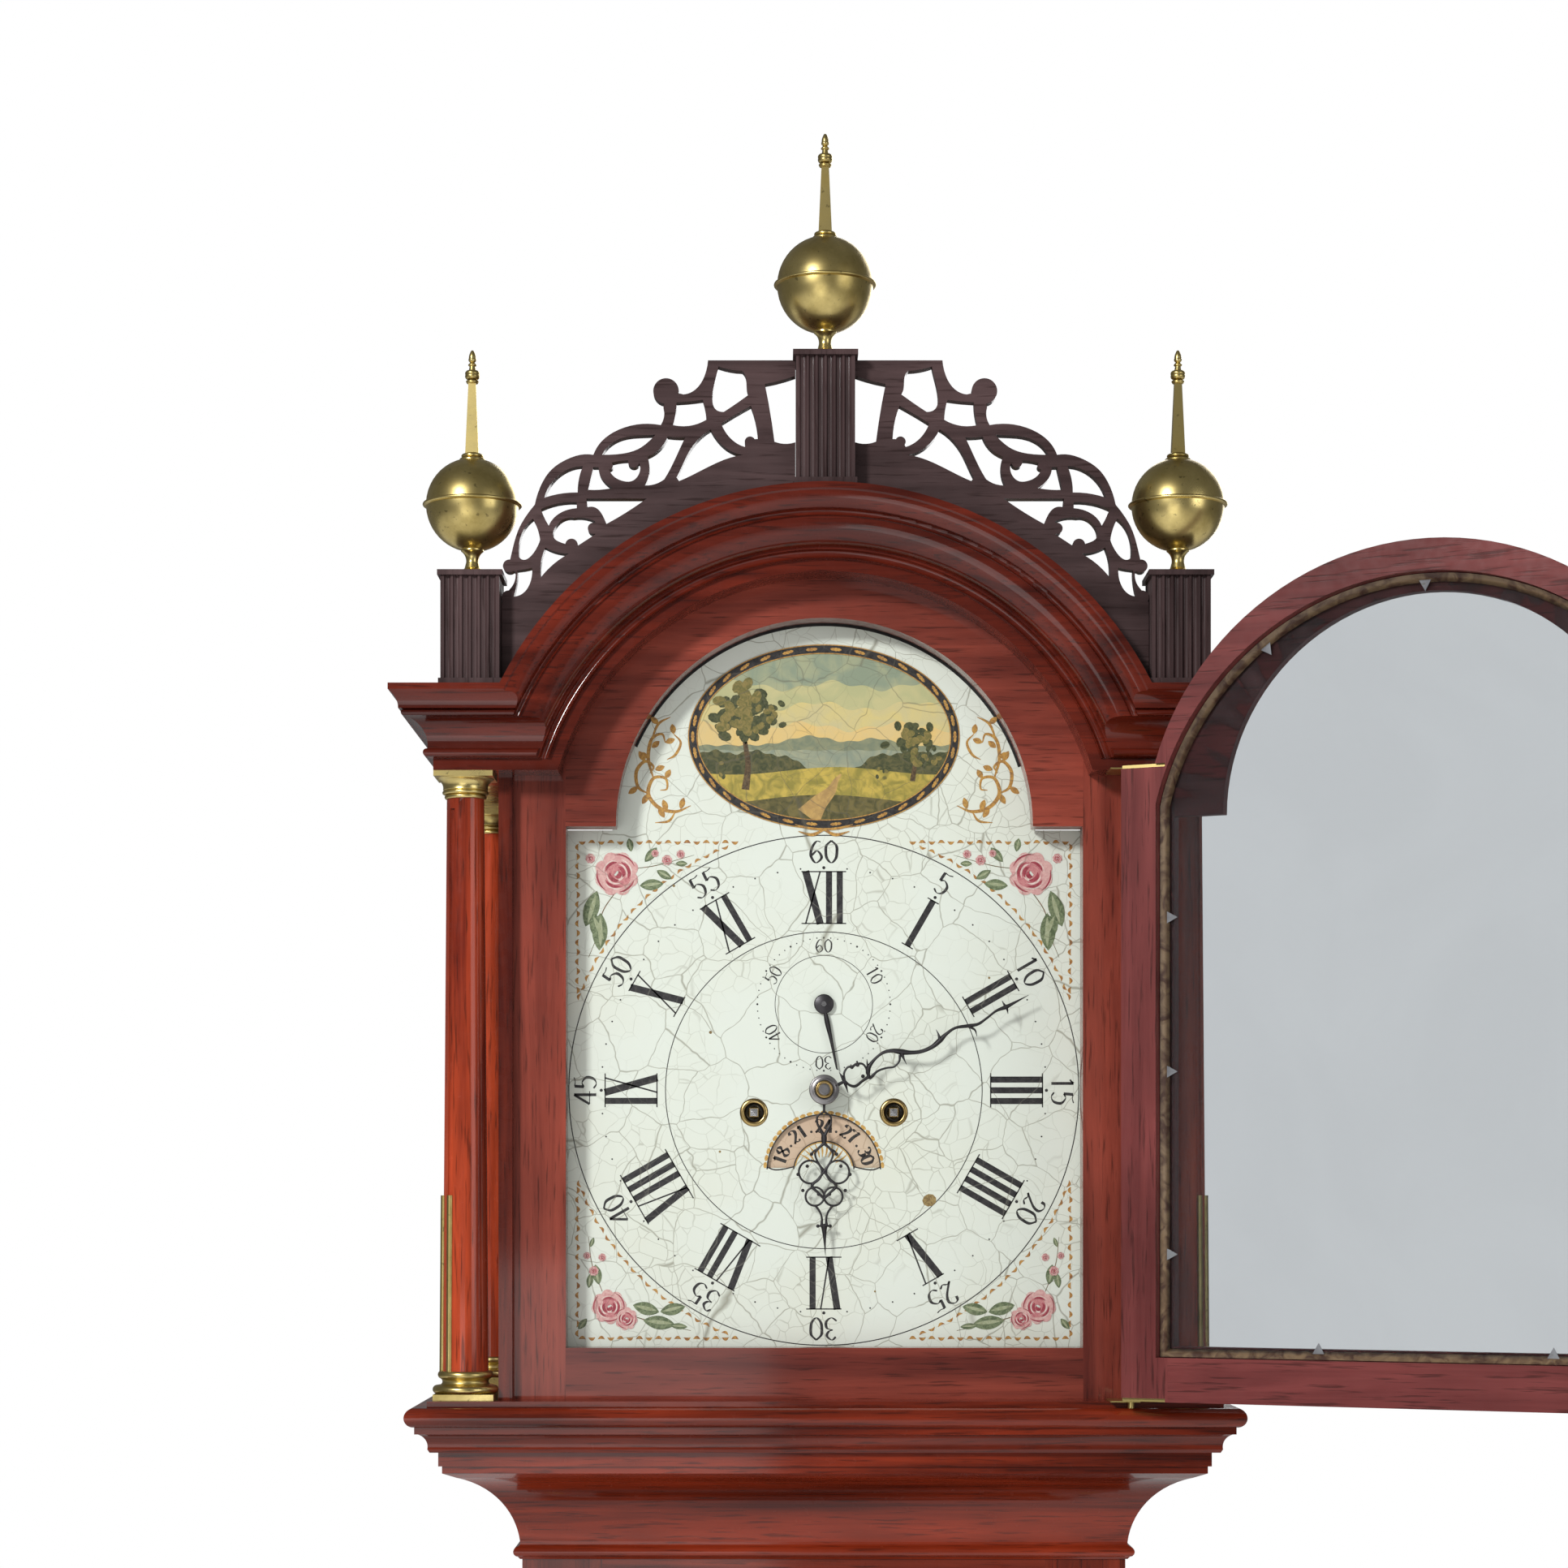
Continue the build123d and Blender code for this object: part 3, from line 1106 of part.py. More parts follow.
cock_face = plate_back + 6
with BuildPart() as back_cock:
    for x in (-22, 16):
        block(x, x + 6, plate_back, cock_face + 4, pallet_z - 9, pallet_z + 12)
    block(-22, 22, cock_face, cock_face + 4, pallet_z - 9, pallet_z + 12)
    block(-6, 6, cock_face, pendulum_y + 6, pallet_z + 8, pallet_z + 12)
    for y in (pendulum_y - 6, pendulum_y + 3.3):
        block(-6, 6, y, y + 2.7, pallet_z - 5, pallet_z + 9)
    shaft(0, pallet_z, cock_face - 1, cock_face + 5, 1.5 + run_gap, mode=Mode.SUBTRACT)
    shaft(0, pallet_z, pendulum_y - 7, pendulum_y + 7, 1.2 + run_gap, mode=Mode.SUBTRACT)
back_cock.part.label = "back_cock"
export_step(back_cock.part, "parts/back_cock.step")

with BuildPart() as pendulum_rod:
    shaft(0, pallet_z, pendulum_y - 6, pendulum_y + 6, 1.2)
    block(-0.4, 0.4, pendulum_y - 3, pendulum_y + 3, pallet_z - 24, pallet_z)
    block(-2.5, 2.5, pendulum_y - 3.5, pendulum_y + 3.5, pallet_z - 36, pallet_z - 22)
    post(0, pendulum_y, bob_z - bob_radius - 32, pallet_z - 35, rod_radius)
    post(0, pendulum_y, bob_z - bob_radius - 22, bob_z - bob_radius - 12, 7)
pendulum_rod.part.label = "pendulum_rod"
export_step(pendulum_rod.part, "parts/pendulum_rod.step")

with BuildPart() as pendulum_bob:
    lens = [(0, -bob_thick / 2), (bob_radius - 12, -bob_thick / 2 + 3.5), (bob_radius, -2), (bob_radius, 2),
            (bob_radius - 12, bob_thick / 2 - 3.5), (0, bob_thick / 2)]
    bob_plane = Plane(origin=(0, pendulum_y, bob_z), x_dir=(1, 0, 0), z_dir=(0, 0, 1))
    revolve(drawn(bob_plane, straight(lens)), Axis((0, pendulum_y, bob_z), (0, 1, 0)))
    post(0, pendulum_y, bob_z - bob_radius - 12, bob_z - bob_radius + 4, 5)
    post(0, pendulum_y, bob_z - bob_radius - 13, bob_z + bob_radius + 1, rod_radius + 0.1, mode=Mode.SUBTRACT)
pendulum_bob.part.label = "pendulum_bob"
export_step(pendulum_bob.part, "parts/pendulum_bob.step")

# Bell on its stand
with BuildPart() as bell:
    shell = [(bell_radius, 0, 0), (bell_radius - 1.5, 6, 0), (38, 26, 2.5), (10, 35, 4)]
    turned(0, 0, bell_z, shell)
    hollow = [(bell_radius - 3, -1, 0), (bell_radius - 4, 6, 0), (35.5, 24, 2.3), (9, 32.5, 3.5)]
    turned(0, 0, bell_z, hollow, mode=Mode.SUBTRACT)
    post(0, 0, bell_z + 30, bell_z + 42, 3)
    block(-45, -35, plate_back, plate_back + 3, pallet_z - 2, bell_z + 41)
    block(-45, -35, -5, plate_back + 3, bell_z + 38, bell_z + 41)
    block(-45, 5, -5, 5, bell_z + 38, bell_z + 41)
bell.part.label = "bell"
export_step(bell.part, "parts/bell.step")

# Barrels, lines, pulleys and weights
for side, barrel_name in ((1, "going_barrel"), (-1, "strike_barrel")):
    with BuildPart() as barrel:
        shaft(side * barrel_x, barrel_z, dial_front - 1, plate_back, 2.6)
        shaft(side * barrel_x, barrel_z, plate_front, plate_back, 5)
        shaft(side * barrel_x, barrel_z, barrel_front, barrel_back, barrel_radius)
        shaft(side * barrel_x, barrel_z, barrel_front, barrel_front + 1.5, barrel_radius + 4)
        shaft(side * barrel_x, barrel_z, barrel_back - 1.5, barrel_back, barrel_radius + 4)
        block(side * barrel_x - 2.6, side * barrel_x + 2.6, dial_front - 1, plate_front - 4, barrel_z - 2.6,
              barrel_z + 2.6)
    barrel.part.label = barrel_name
    export_step(barrel.part, f"parts/{barrel_name}.step")

wrap = pulley_radius + fit_gap + line_radius
knot_z = seat_top + 3 + fit_gap
for side, line_name in ((1, "going_line"), (-1, "strike_line")):
    with BuildPart() as line:
        with BuildLine() as route:
            Line((side * line_x, 0, barrel_z), (side * line_x, 0, pulley_z))
            ThreePointArc((side * line_x, 0, pulley_z), (side * pulley_x, 0, pulley_z - wrap),
                          (side * far_line_x, 0, pulley_z))
            Line((side * far_line_x, 0, pulley_z), (side * far_line_x, 0, knot_z))
        with BuildSketch(Plane(origin=(side * line_x, 0, barrel_z), z_dir=(0, 0, -1))):
            Circle(line_radius)
        sweep(path=route.line)
        with Locations((side * far_line_x, 0, knot_z)):
            Sphere(3)
    line.part.label = line_name
    export_step(line.part, f"parts/{line_name}.step")

hook_top = pulley_z - 34
weight_top = hook_top - 26
for side, train in ((1, "going"), (-1, "strike")):
    x = side * pulley_x
    with BuildPart() as pulley:
        shaft(x, pulley_z, -4, 4, pulley_radius)
        shaft(x, pulley_z, -4, -1.6, pulley_radius + 3)
        shaft(x, pulley_z, 1.6, 4, pulley_radius + 3)
        shaft(x, pulley_z, -5, 5, 2.5 + run_gap, mode=Mode.SUBTRACT)
    pulley.part.label = train + "_pulley"
    export_step(pulley.part, f"parts/{train}_pulley.step")
    with BuildPart() as weight:
        turned(x, 0, weight_top - weight_long, [(weight_radius - 3, 0, 0), (weight_radius, 3, 0),
                                                (weight_radius, weight_long - 4, 0),
                                                (weight_radius - 4, weight_long, 0)])
        post(x, 0, weight_top - 2, hook_top + 2, 3)
        block(x - 5, x + 5, -7, 7, hook_top - 2, hook_top + 2)
        for y in (-7, 5):
            block(x - 5, x + 5, y, y + 2, hook_top - 2, pulley_z + 6)
        shaft(x, pulley_z, -8, 8, 2.5)
    weight.part.label = train + "_weight"
    export_step(weight.part, f"parts/{train}_weight.step")

# Dial plate, pierced for the arbors and the calendar
dial_low = dial_z - dial_half
calendar_z = dial_z - calendar_drop
calendar_outer = 33
calendar_inner = 18
with BuildPart() as dial_plate:
    dial_plane = facing(0, dial_front + dial_thick, 0)
    extrude(arched(dial_plane, dial_half, dial_low, opening_top, opening_top, dial_arch_radius),
            amount=dial_thick)
    for x, z, radius in ((0, dial_z, 6.5), (0, escape_z, 2.5), (barrel_x, barrel_z, 5.7),
                         (-barrel_x, barrel_z, 5.7)):
        shaft(x, z, dial_front - 1, dial_front + 3, radius, mode=Mode.SUBTRACT)
    with BuildSketch(dial_plane) as aperture:
        with Locations((0, calendar_z)):
            Circle(calendar_outer)
            Circle(calendar_inner, mode=Mode.SUBTRACT)
            with Locations((0, 52)):
                Rectangle(130, 100, mode=Mode.INTERSECT)
    extrude(amount=dial_thick, mode=Mode.SUBTRACT)
    for x in (-52, 52):
        for z in (dial_z - 60, dial_z + 75):
            shaft(x, z, dial_front + dial_thick, plate_front, 3.5)
    shaft(0, calendar_z, dial_front + dial_thick, dial_front + 5.5, 3)
    shaft(0, calendar_z, dial_front + 4.5, dial_front + 5.5, 5)
dial_plate.part.label = "dial_plate"
export_step(dial_plate.part, "parts/dial_plate.step")

calendar_front = dial_front + dial_thick + 1
with BuildPart() as calendar_ring:
    wheel(0, calendar_z, calendar_front, calendar_front + 1.2, 62, 1.1, 90, bore=3 + run_gap)
calendar_ring.part.label = "calendar_ring"
export_step(calendar_ring.part, "parts/calendar_ring.step")


def hand(x, z, y0, y1, angle, outline, rings, bore):
    """A hand laid out pointing up and turned clockwise, with (x, z, radius, hole) rings."""
    with BuildSketch(facing(x, y1, z)) as face:
        with BuildLine():
            turn = radians(angle)
            both = outline + [(-u, v) for u, v in reversed(outline)]
            points = [(u * cos(turn) + v * sin(turn), v * cos(turn) - u * sin(turn)) for u, v in both]
            Polyline(*points, close=True)
        make_face()
        for u, v, radius, hole in rings:
            with Locations((u * cos(turn) + v * sin(turn), v * cos(turn) - u * sin(turn))):
                Circle(radius)
                if hole:
                    Circle(hole, mode=Mode.SUBTRACT)
        Circle(bore, mode=Mode.SUBTRACT)
    extrude(face.sketch, amount=y1 - y0)


with BuildPart() as minute_hand:
    hand(0, dial_z, hand_seat - 1.5, hand_seat, 65.6, [(2.4, 0), (1.6, 60), (1.1, 95), (0.3, 130)],
         [(0, 0, 6.5, 0), (0, 22, 8, 5), (0, 42, 6.5, 4), (0, 62, 4.5, 2.4)], arbor_radius)
minute_hand.part.label = "minute_hand"
export_step(minute_hand.part, "parts/minute_hand.step")

with BuildPart() as hour_hand:
    hand(0, dial_z, hour_seat - 1.5, hour_seat, 178.3, [(2.6, 0), (1.8, 30), (1.5, 60), (0.4, 97)],
         [(0, 0, 8.5, 0), (-9, 38, 8, 5), (9, 38, 8, 5), (-6.5, 55, 6, 3.5), (6.5, 55, 6, 3.5)], 5.4)
hour_hand.part.label = "hour_hand"
export_step(hour_hand.part, "parts/hour_hand.step")

with BuildPart() as seconds_hand:
    hand(0, escape_z, seconds_seat - 1, seconds_seat, 169.6, [(1.1, -8), (0.8, 10), (0.7, 30), (0.3, 38.7)],
         [(0, 0, 5.7, 0)], 1.5)
seconds_hand.part.label = "seconds_hand"
export_step(seconds_hand.part, "parts/seconds_hand.step")
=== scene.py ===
"""The looks of a tall case clock: woods, brasses, painted dial, hands, glazing, lines and stage."""

import json
from math import cos, pi, radians, sin

import bpy
import numpy as np
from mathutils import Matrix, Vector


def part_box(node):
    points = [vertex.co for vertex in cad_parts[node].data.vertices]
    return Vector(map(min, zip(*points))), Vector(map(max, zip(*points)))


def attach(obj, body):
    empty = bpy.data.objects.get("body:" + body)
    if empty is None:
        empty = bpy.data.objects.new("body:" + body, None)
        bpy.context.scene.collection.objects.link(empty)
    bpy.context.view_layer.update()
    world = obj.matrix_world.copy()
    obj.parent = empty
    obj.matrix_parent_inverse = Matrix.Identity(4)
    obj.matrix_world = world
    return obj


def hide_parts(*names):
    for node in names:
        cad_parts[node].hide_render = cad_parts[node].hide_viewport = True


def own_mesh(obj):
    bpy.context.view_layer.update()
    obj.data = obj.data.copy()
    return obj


bl_info = {
    "name": "Tall Case Clock",
    "version": (1, 0, 0),
    "blender": (4, 5, 0),
    "location": "View3D > Sidebar > Clock",
    "description": "Dresses a tall case clock with an arched dial and sets its stage",
    "category": "Object",
}

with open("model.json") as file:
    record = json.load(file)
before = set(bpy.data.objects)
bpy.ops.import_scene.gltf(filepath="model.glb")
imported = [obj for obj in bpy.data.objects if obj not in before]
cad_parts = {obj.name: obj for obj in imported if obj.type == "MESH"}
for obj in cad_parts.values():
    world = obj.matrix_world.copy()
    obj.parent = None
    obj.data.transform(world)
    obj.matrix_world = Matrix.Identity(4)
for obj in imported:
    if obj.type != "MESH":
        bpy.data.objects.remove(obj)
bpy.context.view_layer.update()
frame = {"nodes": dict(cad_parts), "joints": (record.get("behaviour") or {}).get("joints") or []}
places = {joint["name"]: joint.get("pos_m") for joint in frame["joints"]}
DIAL_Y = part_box("dial_plate")[0].y
ARBOR = places["minute_turn"]
SECONDS_UP = (places["seconds_turn"][2] - ARBOR[2]) * 1000
CALENDAR_DOWN = (ARBOR[2] - places["calendar_turn"][2]) * 1000
DOOR_PIVOT = places["hood_door_swing"]
DOOR_OPEN = radians(154)
MASK_HALF = 0.1502
SIGHT_HALF = 0.1445
WAIST_OPENING_HALF = 0.13
EVERYWHERE = -1.0
NOWHERE = 10.0
LAYER = 0.0015
LAYERS = 48
RABBET_HALF = 151.1
RABBET_LOW = 1707.4
RABBET_ARCH = 155.6
RABBET_CENTRE = 1981
RABBET_SPRING = 1850
WRAP_RADIUS = 0.0163
LINE_RADIUS = 0.001
KNOT_DROP = 0.0585
FLOOR_RADIUS = 6
CAMERA_DISTANCE = 2.0
CAMERA_SPOT = (-0.031, 1.795)
LENS = 78.26
LENS_SHIFT = (0.0083, 0.266)


class ClockLook(bpy.types.PropertyGroup):
    """Sizes and colours that a user would change."""

    wood_dark: bpy.props.FloatVectorProperty(
        name="Mahogany dark", description="Dark streaks of the case", subtype="COLOR", size=4,
        default=(0.045, 0.005, 0.003, 1))
    wood_light: bpy.props.FloatVectorProperty(
        name="Mahogany light", description="Light streaks of the case", subtype="COLOR", size=4,
        default=(0.2, 0.028, 0.012, 1))
    column_light: bpy.props.FloatVectorProperty(
        name="Column light", description="Light streaks of the polished columns and mouldings",
        subtype="COLOR", size=4, default=(0.27, 0.03, 0.009, 1))
    fret_light: bpy.props.FloatVectorProperty(
        name="Fret light", description="Light streaks of the darkened fretwork", subtype="COLOR", size=4,
        default=(0.085, 0.052, 0.052, 1))
    brass: bpy.props.FloatVectorProperty(
        name="Brass", description="Bright parts of the aged brass", subtype="COLOR", size=4,
        default=(0.76, 0.61, 0.25, 1))
    tarnish: bpy.props.FloatVectorProperty(
        name="Tarnish", description="Dull parts of the aged brass", subtype="COLOR", size=4,
        default=(0.42, 0.32, 0.11, 1))
    paint: bpy.props.FloatVectorProperty(
        name="Dial paint", description="Ground colour of the dial", subtype="COLOR", size=4,
        default=(0.69, 0.74, 0.66, 1))
    chapter_radius: bpy.props.FloatProperty(
        name="Chapter radius", description="Radius of the outer circle in millimetres", default=149.6)
    inner_radius: bpy.props.FloatProperty(
        name="Inner radius", description="Radius of the inner circle in millimetres", default=92.9)
    numeral_height: bpy.props.FloatProperty(
        name="Numeral height", description="Height of the hour numerals in millimetres", default=31)
    minute_height: bpy.props.FloatProperty(
        name="Minute height", description="Height of the minute numerals in millimetres", default=13)
    key_power: bpy.props.FloatProperty(
        name="Key light", description="Power of the main lamp", subtype="POWER", default=84)
    fill_power: bpy.props.FloatProperty(
        name="Fill light", description="Power of the second lamp", subtype="POWER", default=16)


def node(tree, kind, inputs=None, **settings):
    """Add a shader node, set or link its inputs, and return its outputs."""
    made = tree.nodes.new("ShaderNode" + kind)
    for key, value in settings.items():
        setattr(made, key, value)
    for key, value in (inputs or {}).items():
        if isinstance(value, bpy.types.NodeSocket):
            tree.links.new(value, made.inputs[key])
        else:
            made.inputs[key].default_value = value
    return made.outputs


def spread(tree, value, low, high, to_low=0.0, to_high=1.0):
    """Stretch a value's range low to high onto another range."""
    return node(tree, "MapRange", {0: value, 1: low, 2: high, 3: to_low, 4: to_high})[0]


def blended(tree, share, first, second, how="MIX"):
    """Mix two colours."""
    return node(tree, "Mix", {0: share, 6: first, 7: second}, data_type="RGBA", blend_type=how)[2]


def effect(name, inputs):
    """An empty group with the three outputs that every surface effect here gives."""
    group = bpy.data.node_groups.new(name, "ShaderNodeTree")
    for label, kind, value in inputs:
        socket = group.interface.new_socket(label, in_out="INPUT", socket_type="NodeSocket" + kind)
        if value is not None:
            socket.default_value = value
    for label, kind in (("Base Color", "Color"), ("Roughness", "Float"), ("Bump Height", "Float")):
        group.interface.new_socket(label, in_out="OUTPUT", socket_type="NodeSocket" + kind)
    given = group.nodes.new("NodeGroupInput").outputs
    result = group.nodes.new("NodeGroupOutput").inputs
    return group, given, result


def give(group, result, colour, rough, height):
    """Wire a group's three results."""
    for value, label in ((colour, "Base Color"), (rough, "Roughness"), (height, "Bump Height")):
        group.links.new(value, result[label])


def wood_effect():
    """Long streaks, fine dark pores and slow cloudiness; upright where |x| is past Stile."""
    group, given, result = effect("Wood Grain", [
        ("Vector", "Vector", None), ("Stile", "Float", NOWHERE), ("Dark", "Color", (0, 0, 0, 1)),
        ("Light", "Color", (1, 1, 1, 1)), ("Polish", "Float", 0.26)])
    axes = node(group, "SeparateXYZ", {0: given["Vector"]})
    across = node(group, "Math", {0: axes[0]}, operation="ABSOLUTE")[0]
    upright = node(group, "Math", {0: across, 1: given["Stile"]}, operation="GREATER_THAN")[0]
    lying = node(group, "VectorMath", {0: given["Vector"], 1: (4, 70, 70)}, operation="MULTIPLY")[0]
    rising = node(group, "VectorMath", {0: given["Vector"], 1: (70, 70, 4)}, operation="MULTIPLY")[0]
    grain = node(group, "Mix", {0: upright, 4: lying, 5: rising}, data_type="VECTOR")[1]
    streak = node(group, "TexNoise", {"Vector": grain, "Scale": 0.8, "Detail": 6.0, "Roughness": 0.6,
                                      "Distortion": 0.7})[0]
    pores = node(group, "TexNoise", {"Vector": grain, "Scale": 9.0, "Detail": 3.0})[0]
    cloud = node(group, "TexNoise", {"Vector": given["Vector"], "Scale": 9.0, "Detail": 3.0})[0]
    worn = node(group, "TexNoise", {"Vector": given["Vector"], "Scale": 160.0, "Detail": 4.0})[0]
    colour = blended(group, spread(group, streak, 0.3, 0.72), given["Dark"], given["Light"])
    pitted = spread(group, pores, 0.56, 0.68, 0.0, 0.55)
    colour = blended(group, pitted, colour, (0.012, 0.004, 0.003, 1))
    colour = node(group, "HueSaturation", {"Value": spread(group, cloud, 0.3, 0.7, 0.72, 1.3),
                                           "Color": colour})[0]
    wear = spread(group, worn, 0.35, 0.7, -0.04, 0.09)
    rough = node(group, "Math", {0: given["Polish"], 1: wear}, operation="ADD")[0]
    height = node(group, "Math", {0: streak, 1: pitted}, operation="SUBTRACT")[0]
    give(group, result, colour, rough, height)
    return group


def metal_effect():
    """Cloudy tarnish with faint turning marks."""
    group, given, result = effect("Aged Metal", [
        ("Vector", "Vector", None), ("Bright", "Color", (1, 1, 1, 1)), ("Dull", "Color", (0, 0, 0, 1)),
        ("Polish", "Float", 0.3)])
    cloud = node(group, "TexNoise", {"Vector": given["Vector"], "Scale": 38.0, "Detail": 8.0,
                                     "Roughness": 0.62})[0]
    marks = node(group, "VectorMath", {0: given["Vector"], 1: (60, 60, 1500)}, operation="MULTIPLY")[0]
    lines = node(group, "TexNoise", {"Vector": marks, "Scale": 1.0, "Detail": 2.0})[0]
    spots = node(group, "TexNoise", {"Vector": given["Vector"], "Scale": 330.0, "Detail": 2.0})[0]
    share = spread(group, cloud, 0.35, 0.65)
    colour = blended(group, share, given["Dull"], given["Bright"])
    colour = blended(group, spread(group, spots, 0.66, 0.74, 0.0, 0.5), colour, (0.05, 0.04, 0.02, 1))
    wear = spread(group, cloud, 0.3, 0.7, 0.1, -0.06)
    rough = node(group, "Math", {0: given["Polish"], 1: wear}, operation="ADD")[0]
    give(group, result, colour, rough, lines)
    return group


def crack_net(group, vector):
    """A wandering net of fine cracks, wide and narrow, and the slow cloud that gathers them."""
    sway = node(group, "TexNoise", {"Vector": vector, "Scale": 30.0, "Detail": 3.0})[1]
    shift = node(group, "VectorMath", {0: sway, "Scale": 0.02}, operation="SCALE")[0]
    moved = node(group, "VectorMath", {0: vector, 1: shift}, operation="ADD")[0]
    flat = node(group, "VectorMath", {0: moved, 1: (1, 0, 1)}, operation="MULTIPLY")[0]
    wide = node(group, "TexVoronoi", {"Vector": flat, "Scale": 34.0}, feature="DISTANCE_TO_EDGE")[0]
    fine = node(group, "TexVoronoi", {"Vector": flat, "Scale": 95.0}, feature="DISTANCE_TO_EDGE")[0]
    cloud = node(group, "TexNoise", {"Vector": vector, "Scale": 14.0, "Detail": 5.0})[0]
    first = spread(group, wide, 0.0, 0.012, 0.75, 0.0)
    patch = spread(group, cloud, 0.38, 0.62, 0.0, 0.55)
    second = node(group, "Math", {0: spread(group, fine, 0.0, 0.026, 1.0, 0.0), 1: patch},
                  operation="MULTIPLY")[0]
    return node(group, "Math", {0: first, 1: second}, operation="MAXIMUM")[0], cloud


def crackle_effect():
    """Old oil paint: cracks over cloudy yellowing."""
    group, given, result = effect("Crackled Paint", [
        ("Vector", "Vector", None), ("Ground", "Color", (1, 1, 1, 1)), ("Crack", "Color", (0, 0, 0, 1))])
    cracks, cloud = crack_net(group, given["Vector"])
    warm = blended(group, spread(group, cloud, 0.4, 0.75, 0.0, 0.35), given["Ground"],
                   (0.62, 0.62, 0.47, 1))
    colour = blended(group, cracks, warm, given["Crack"])
    rough = spread(group, cloud, 0.3, 0.7, 0.3, 0.42)
    give(group, result, colour, rough, node(group, "Math", {0: 1.0, 1: cracks}, operation="SUBTRACT")[0])
    return group


def brushed_effect():
    """Hand painted colour: two tones that meet in short strokes, under the dial's cracks by Cracked."""
    group, given, result = effect("Brush Work", [
        ("Vector", "Vector", None), ("First", "Color", (1, 1, 1, 1)), ("Second", "Color", (0, 0, 0, 1)),
        ("Size", "Float", 200.0), ("Cracked", "Float", 0.0), ("Crack", "Color", (0.1, 0.09, 0.06, 1))])
    dabs = node(group, "TexNoise", {"Vector": given["Vector"], "Scale": given["Size"], "Detail": 4.0,
                                    "Distortion": 1.2})[0]
    colour = blended(group, spread(group, dabs, 0.38, 0.64), given["First"], given["Second"])
    cracks = node(group, "Math", {0: crack_net(group, given["Vector"])[0], 1: given["Cracked"]},
                  operation="MULTIPLY")[0]
    colour = blended(group, cracks, colour, given["Crack"])
    give(group, result, colour, spread(group, dabs, 0.3, 0.7, 0.34, 0.5), dabs)
    return group


effects = {}


def surface(name, kind, settings, bump=0.1, distance=0.0004, turn=False, **shader_values):
    """A material that takes its colour, roughness and bump from one of the shared effects."""
    material = bpy.data.materials.new(name)
    material.use_nodes = True
    tree = material.node_tree
    shader = tree.nodes["Principled BSDF"]
    vector = node(tree, "TexCoord")["Object"]
    if turn:
        vector = node(tree, "VectorRotate", {"Vector": vector, "Center": (DOOR_PIVOT[0], DOOR_PIVOT[1], 0),
                                             "Axis": (0, 0, 1), "Angle": -DOOR_OPEN})[0]
    if kind not in effects:
        effects[kind] = {"wood": wood_effect, "metal": metal_effect, "crackle": crackle_effect,
                         "brushed": brushed_effect}[kind]()
    group = tree.nodes.new("ShaderNodeGroup")
    group.node_tree = effects[kind]
    tree.links.new(vector, group.inputs["Vector"])
    for label, value in settings.items():
        group.inputs[label].default_value = value if isinstance(value, float) else (*value[:3], 1)
    tree.links.new(group.outputs["Base Color"], shader.inputs["Base Color"])
    tree.links.new(group.outputs["Roughness"], shader.inputs["Roughness"])
    raised = node(tree, "Bump", {"Strength": bump, "Distance": distance,
                                 "Height": group.outputs["Bump Height"]})[0]
    tree.links.new(raised, shader.inputs["Normal"])
    for label, value in shader_values.items():
        shader.inputs[label.replace("_", " ")].default_value = value
    return material


def paint(name, first, second, size=200.0, cracked=0.0, crack=(0.1, 0.09, 0.06), **more):
    """Two tones of hand painted colour, crossed by the dial's cracks as far as it says."""
    return surface(name, "brushed", {"First": first, "Second": second, "Size": size, "Cracked": cracked,
                                     "Crack": crack}, **more)


def metal(name, bright, dull, polish, metallic=1.0, **more):
    """Bright metal under tarnish."""
    return surface(name, "metal", {"Bright": bright, "Dull": dull, "Polish": polish}, Metallic=metallic,
                   **more)


def grid_faces(rows, columns, closed=False):
    """The quads of a grid, row after row; the last column meets the first where it is closed."""
    row, column = np.meshgrid(np.arange(rows - 1), np.arange(columns - (not closed)), indexing="ij")
    after = (column + 1) % columns
    faces = np.stack([row * columns + column, row * columns + after, (row + 1) * columns + after,
                      (row + 1) * columns + column], 2)
    return faces.reshape(-1, 4).tolist()


def dress(material, *names):
    """Give CAD nodes a material."""
    for name in names:
        mesh = frame["nodes"][name].data
        mesh.materials.clear()
        mesh.materials.append(material)


def flow(knots, count=8):
    """A smooth line through knots: each span is the cubic set by the two knots before and after it."""
    knots = np.asarray(knots, float)
    ends = np.vstack([2 * knots[0] - knots[1], knots, 2 * knots[-1] - knots[-2]])
    t = np.linspace(0, 1, count, endpoint=False)[None, :, None]
    a, b, c, d = (ends[i:len(ends) - 3 + i][:, None, :] for i in range(4))
    curve = 0.5 * (2 * b + (c - a) * t + (2 * a - 5 * b + 4 * c - d) * t ** 2
                   + (3 * b - a - 3 * c + d) * t ** 3)
    return np.vstack([curve.reshape(-1, knots.shape[1]), knots[-1]])


def sides(path):
    """Unit normals of a flat line, to its left."""
    along = np.gradient(path, axis=0)
    along = along / (np.linalg.norm(along, axis=1, keepdims=True) + 1e-9)
    return np.stack([-along[:, 1], along[:, 0]], 1), along


def stroke(path, width):
    """A flat ribbon: the line moved half its width to each side."""
    path = np.asarray(path, float)
    normal, _ = sides(path)
    half = np.broadcast_to(np.asarray(width, float) / 2, (len(path),))[:, None]
    return np.vstack([path + normal * half, path - normal * half]), grid_faces(2, len(path))


def inked(knots):
    """A smooth ribbon through (x, z, width) knots."""
    line = flow(knots)
    return stroke(line[:, :2], line[:, 2])


def pen(knots, thin, thick):
    """A pen stroke: thin where it runs level and thick where it runs upright."""
    line = flow(knots)
    _, along = sides(line)
    return stroke(line, thin + (thick - thin) * np.abs(along[:, 1]) ** 1.6)


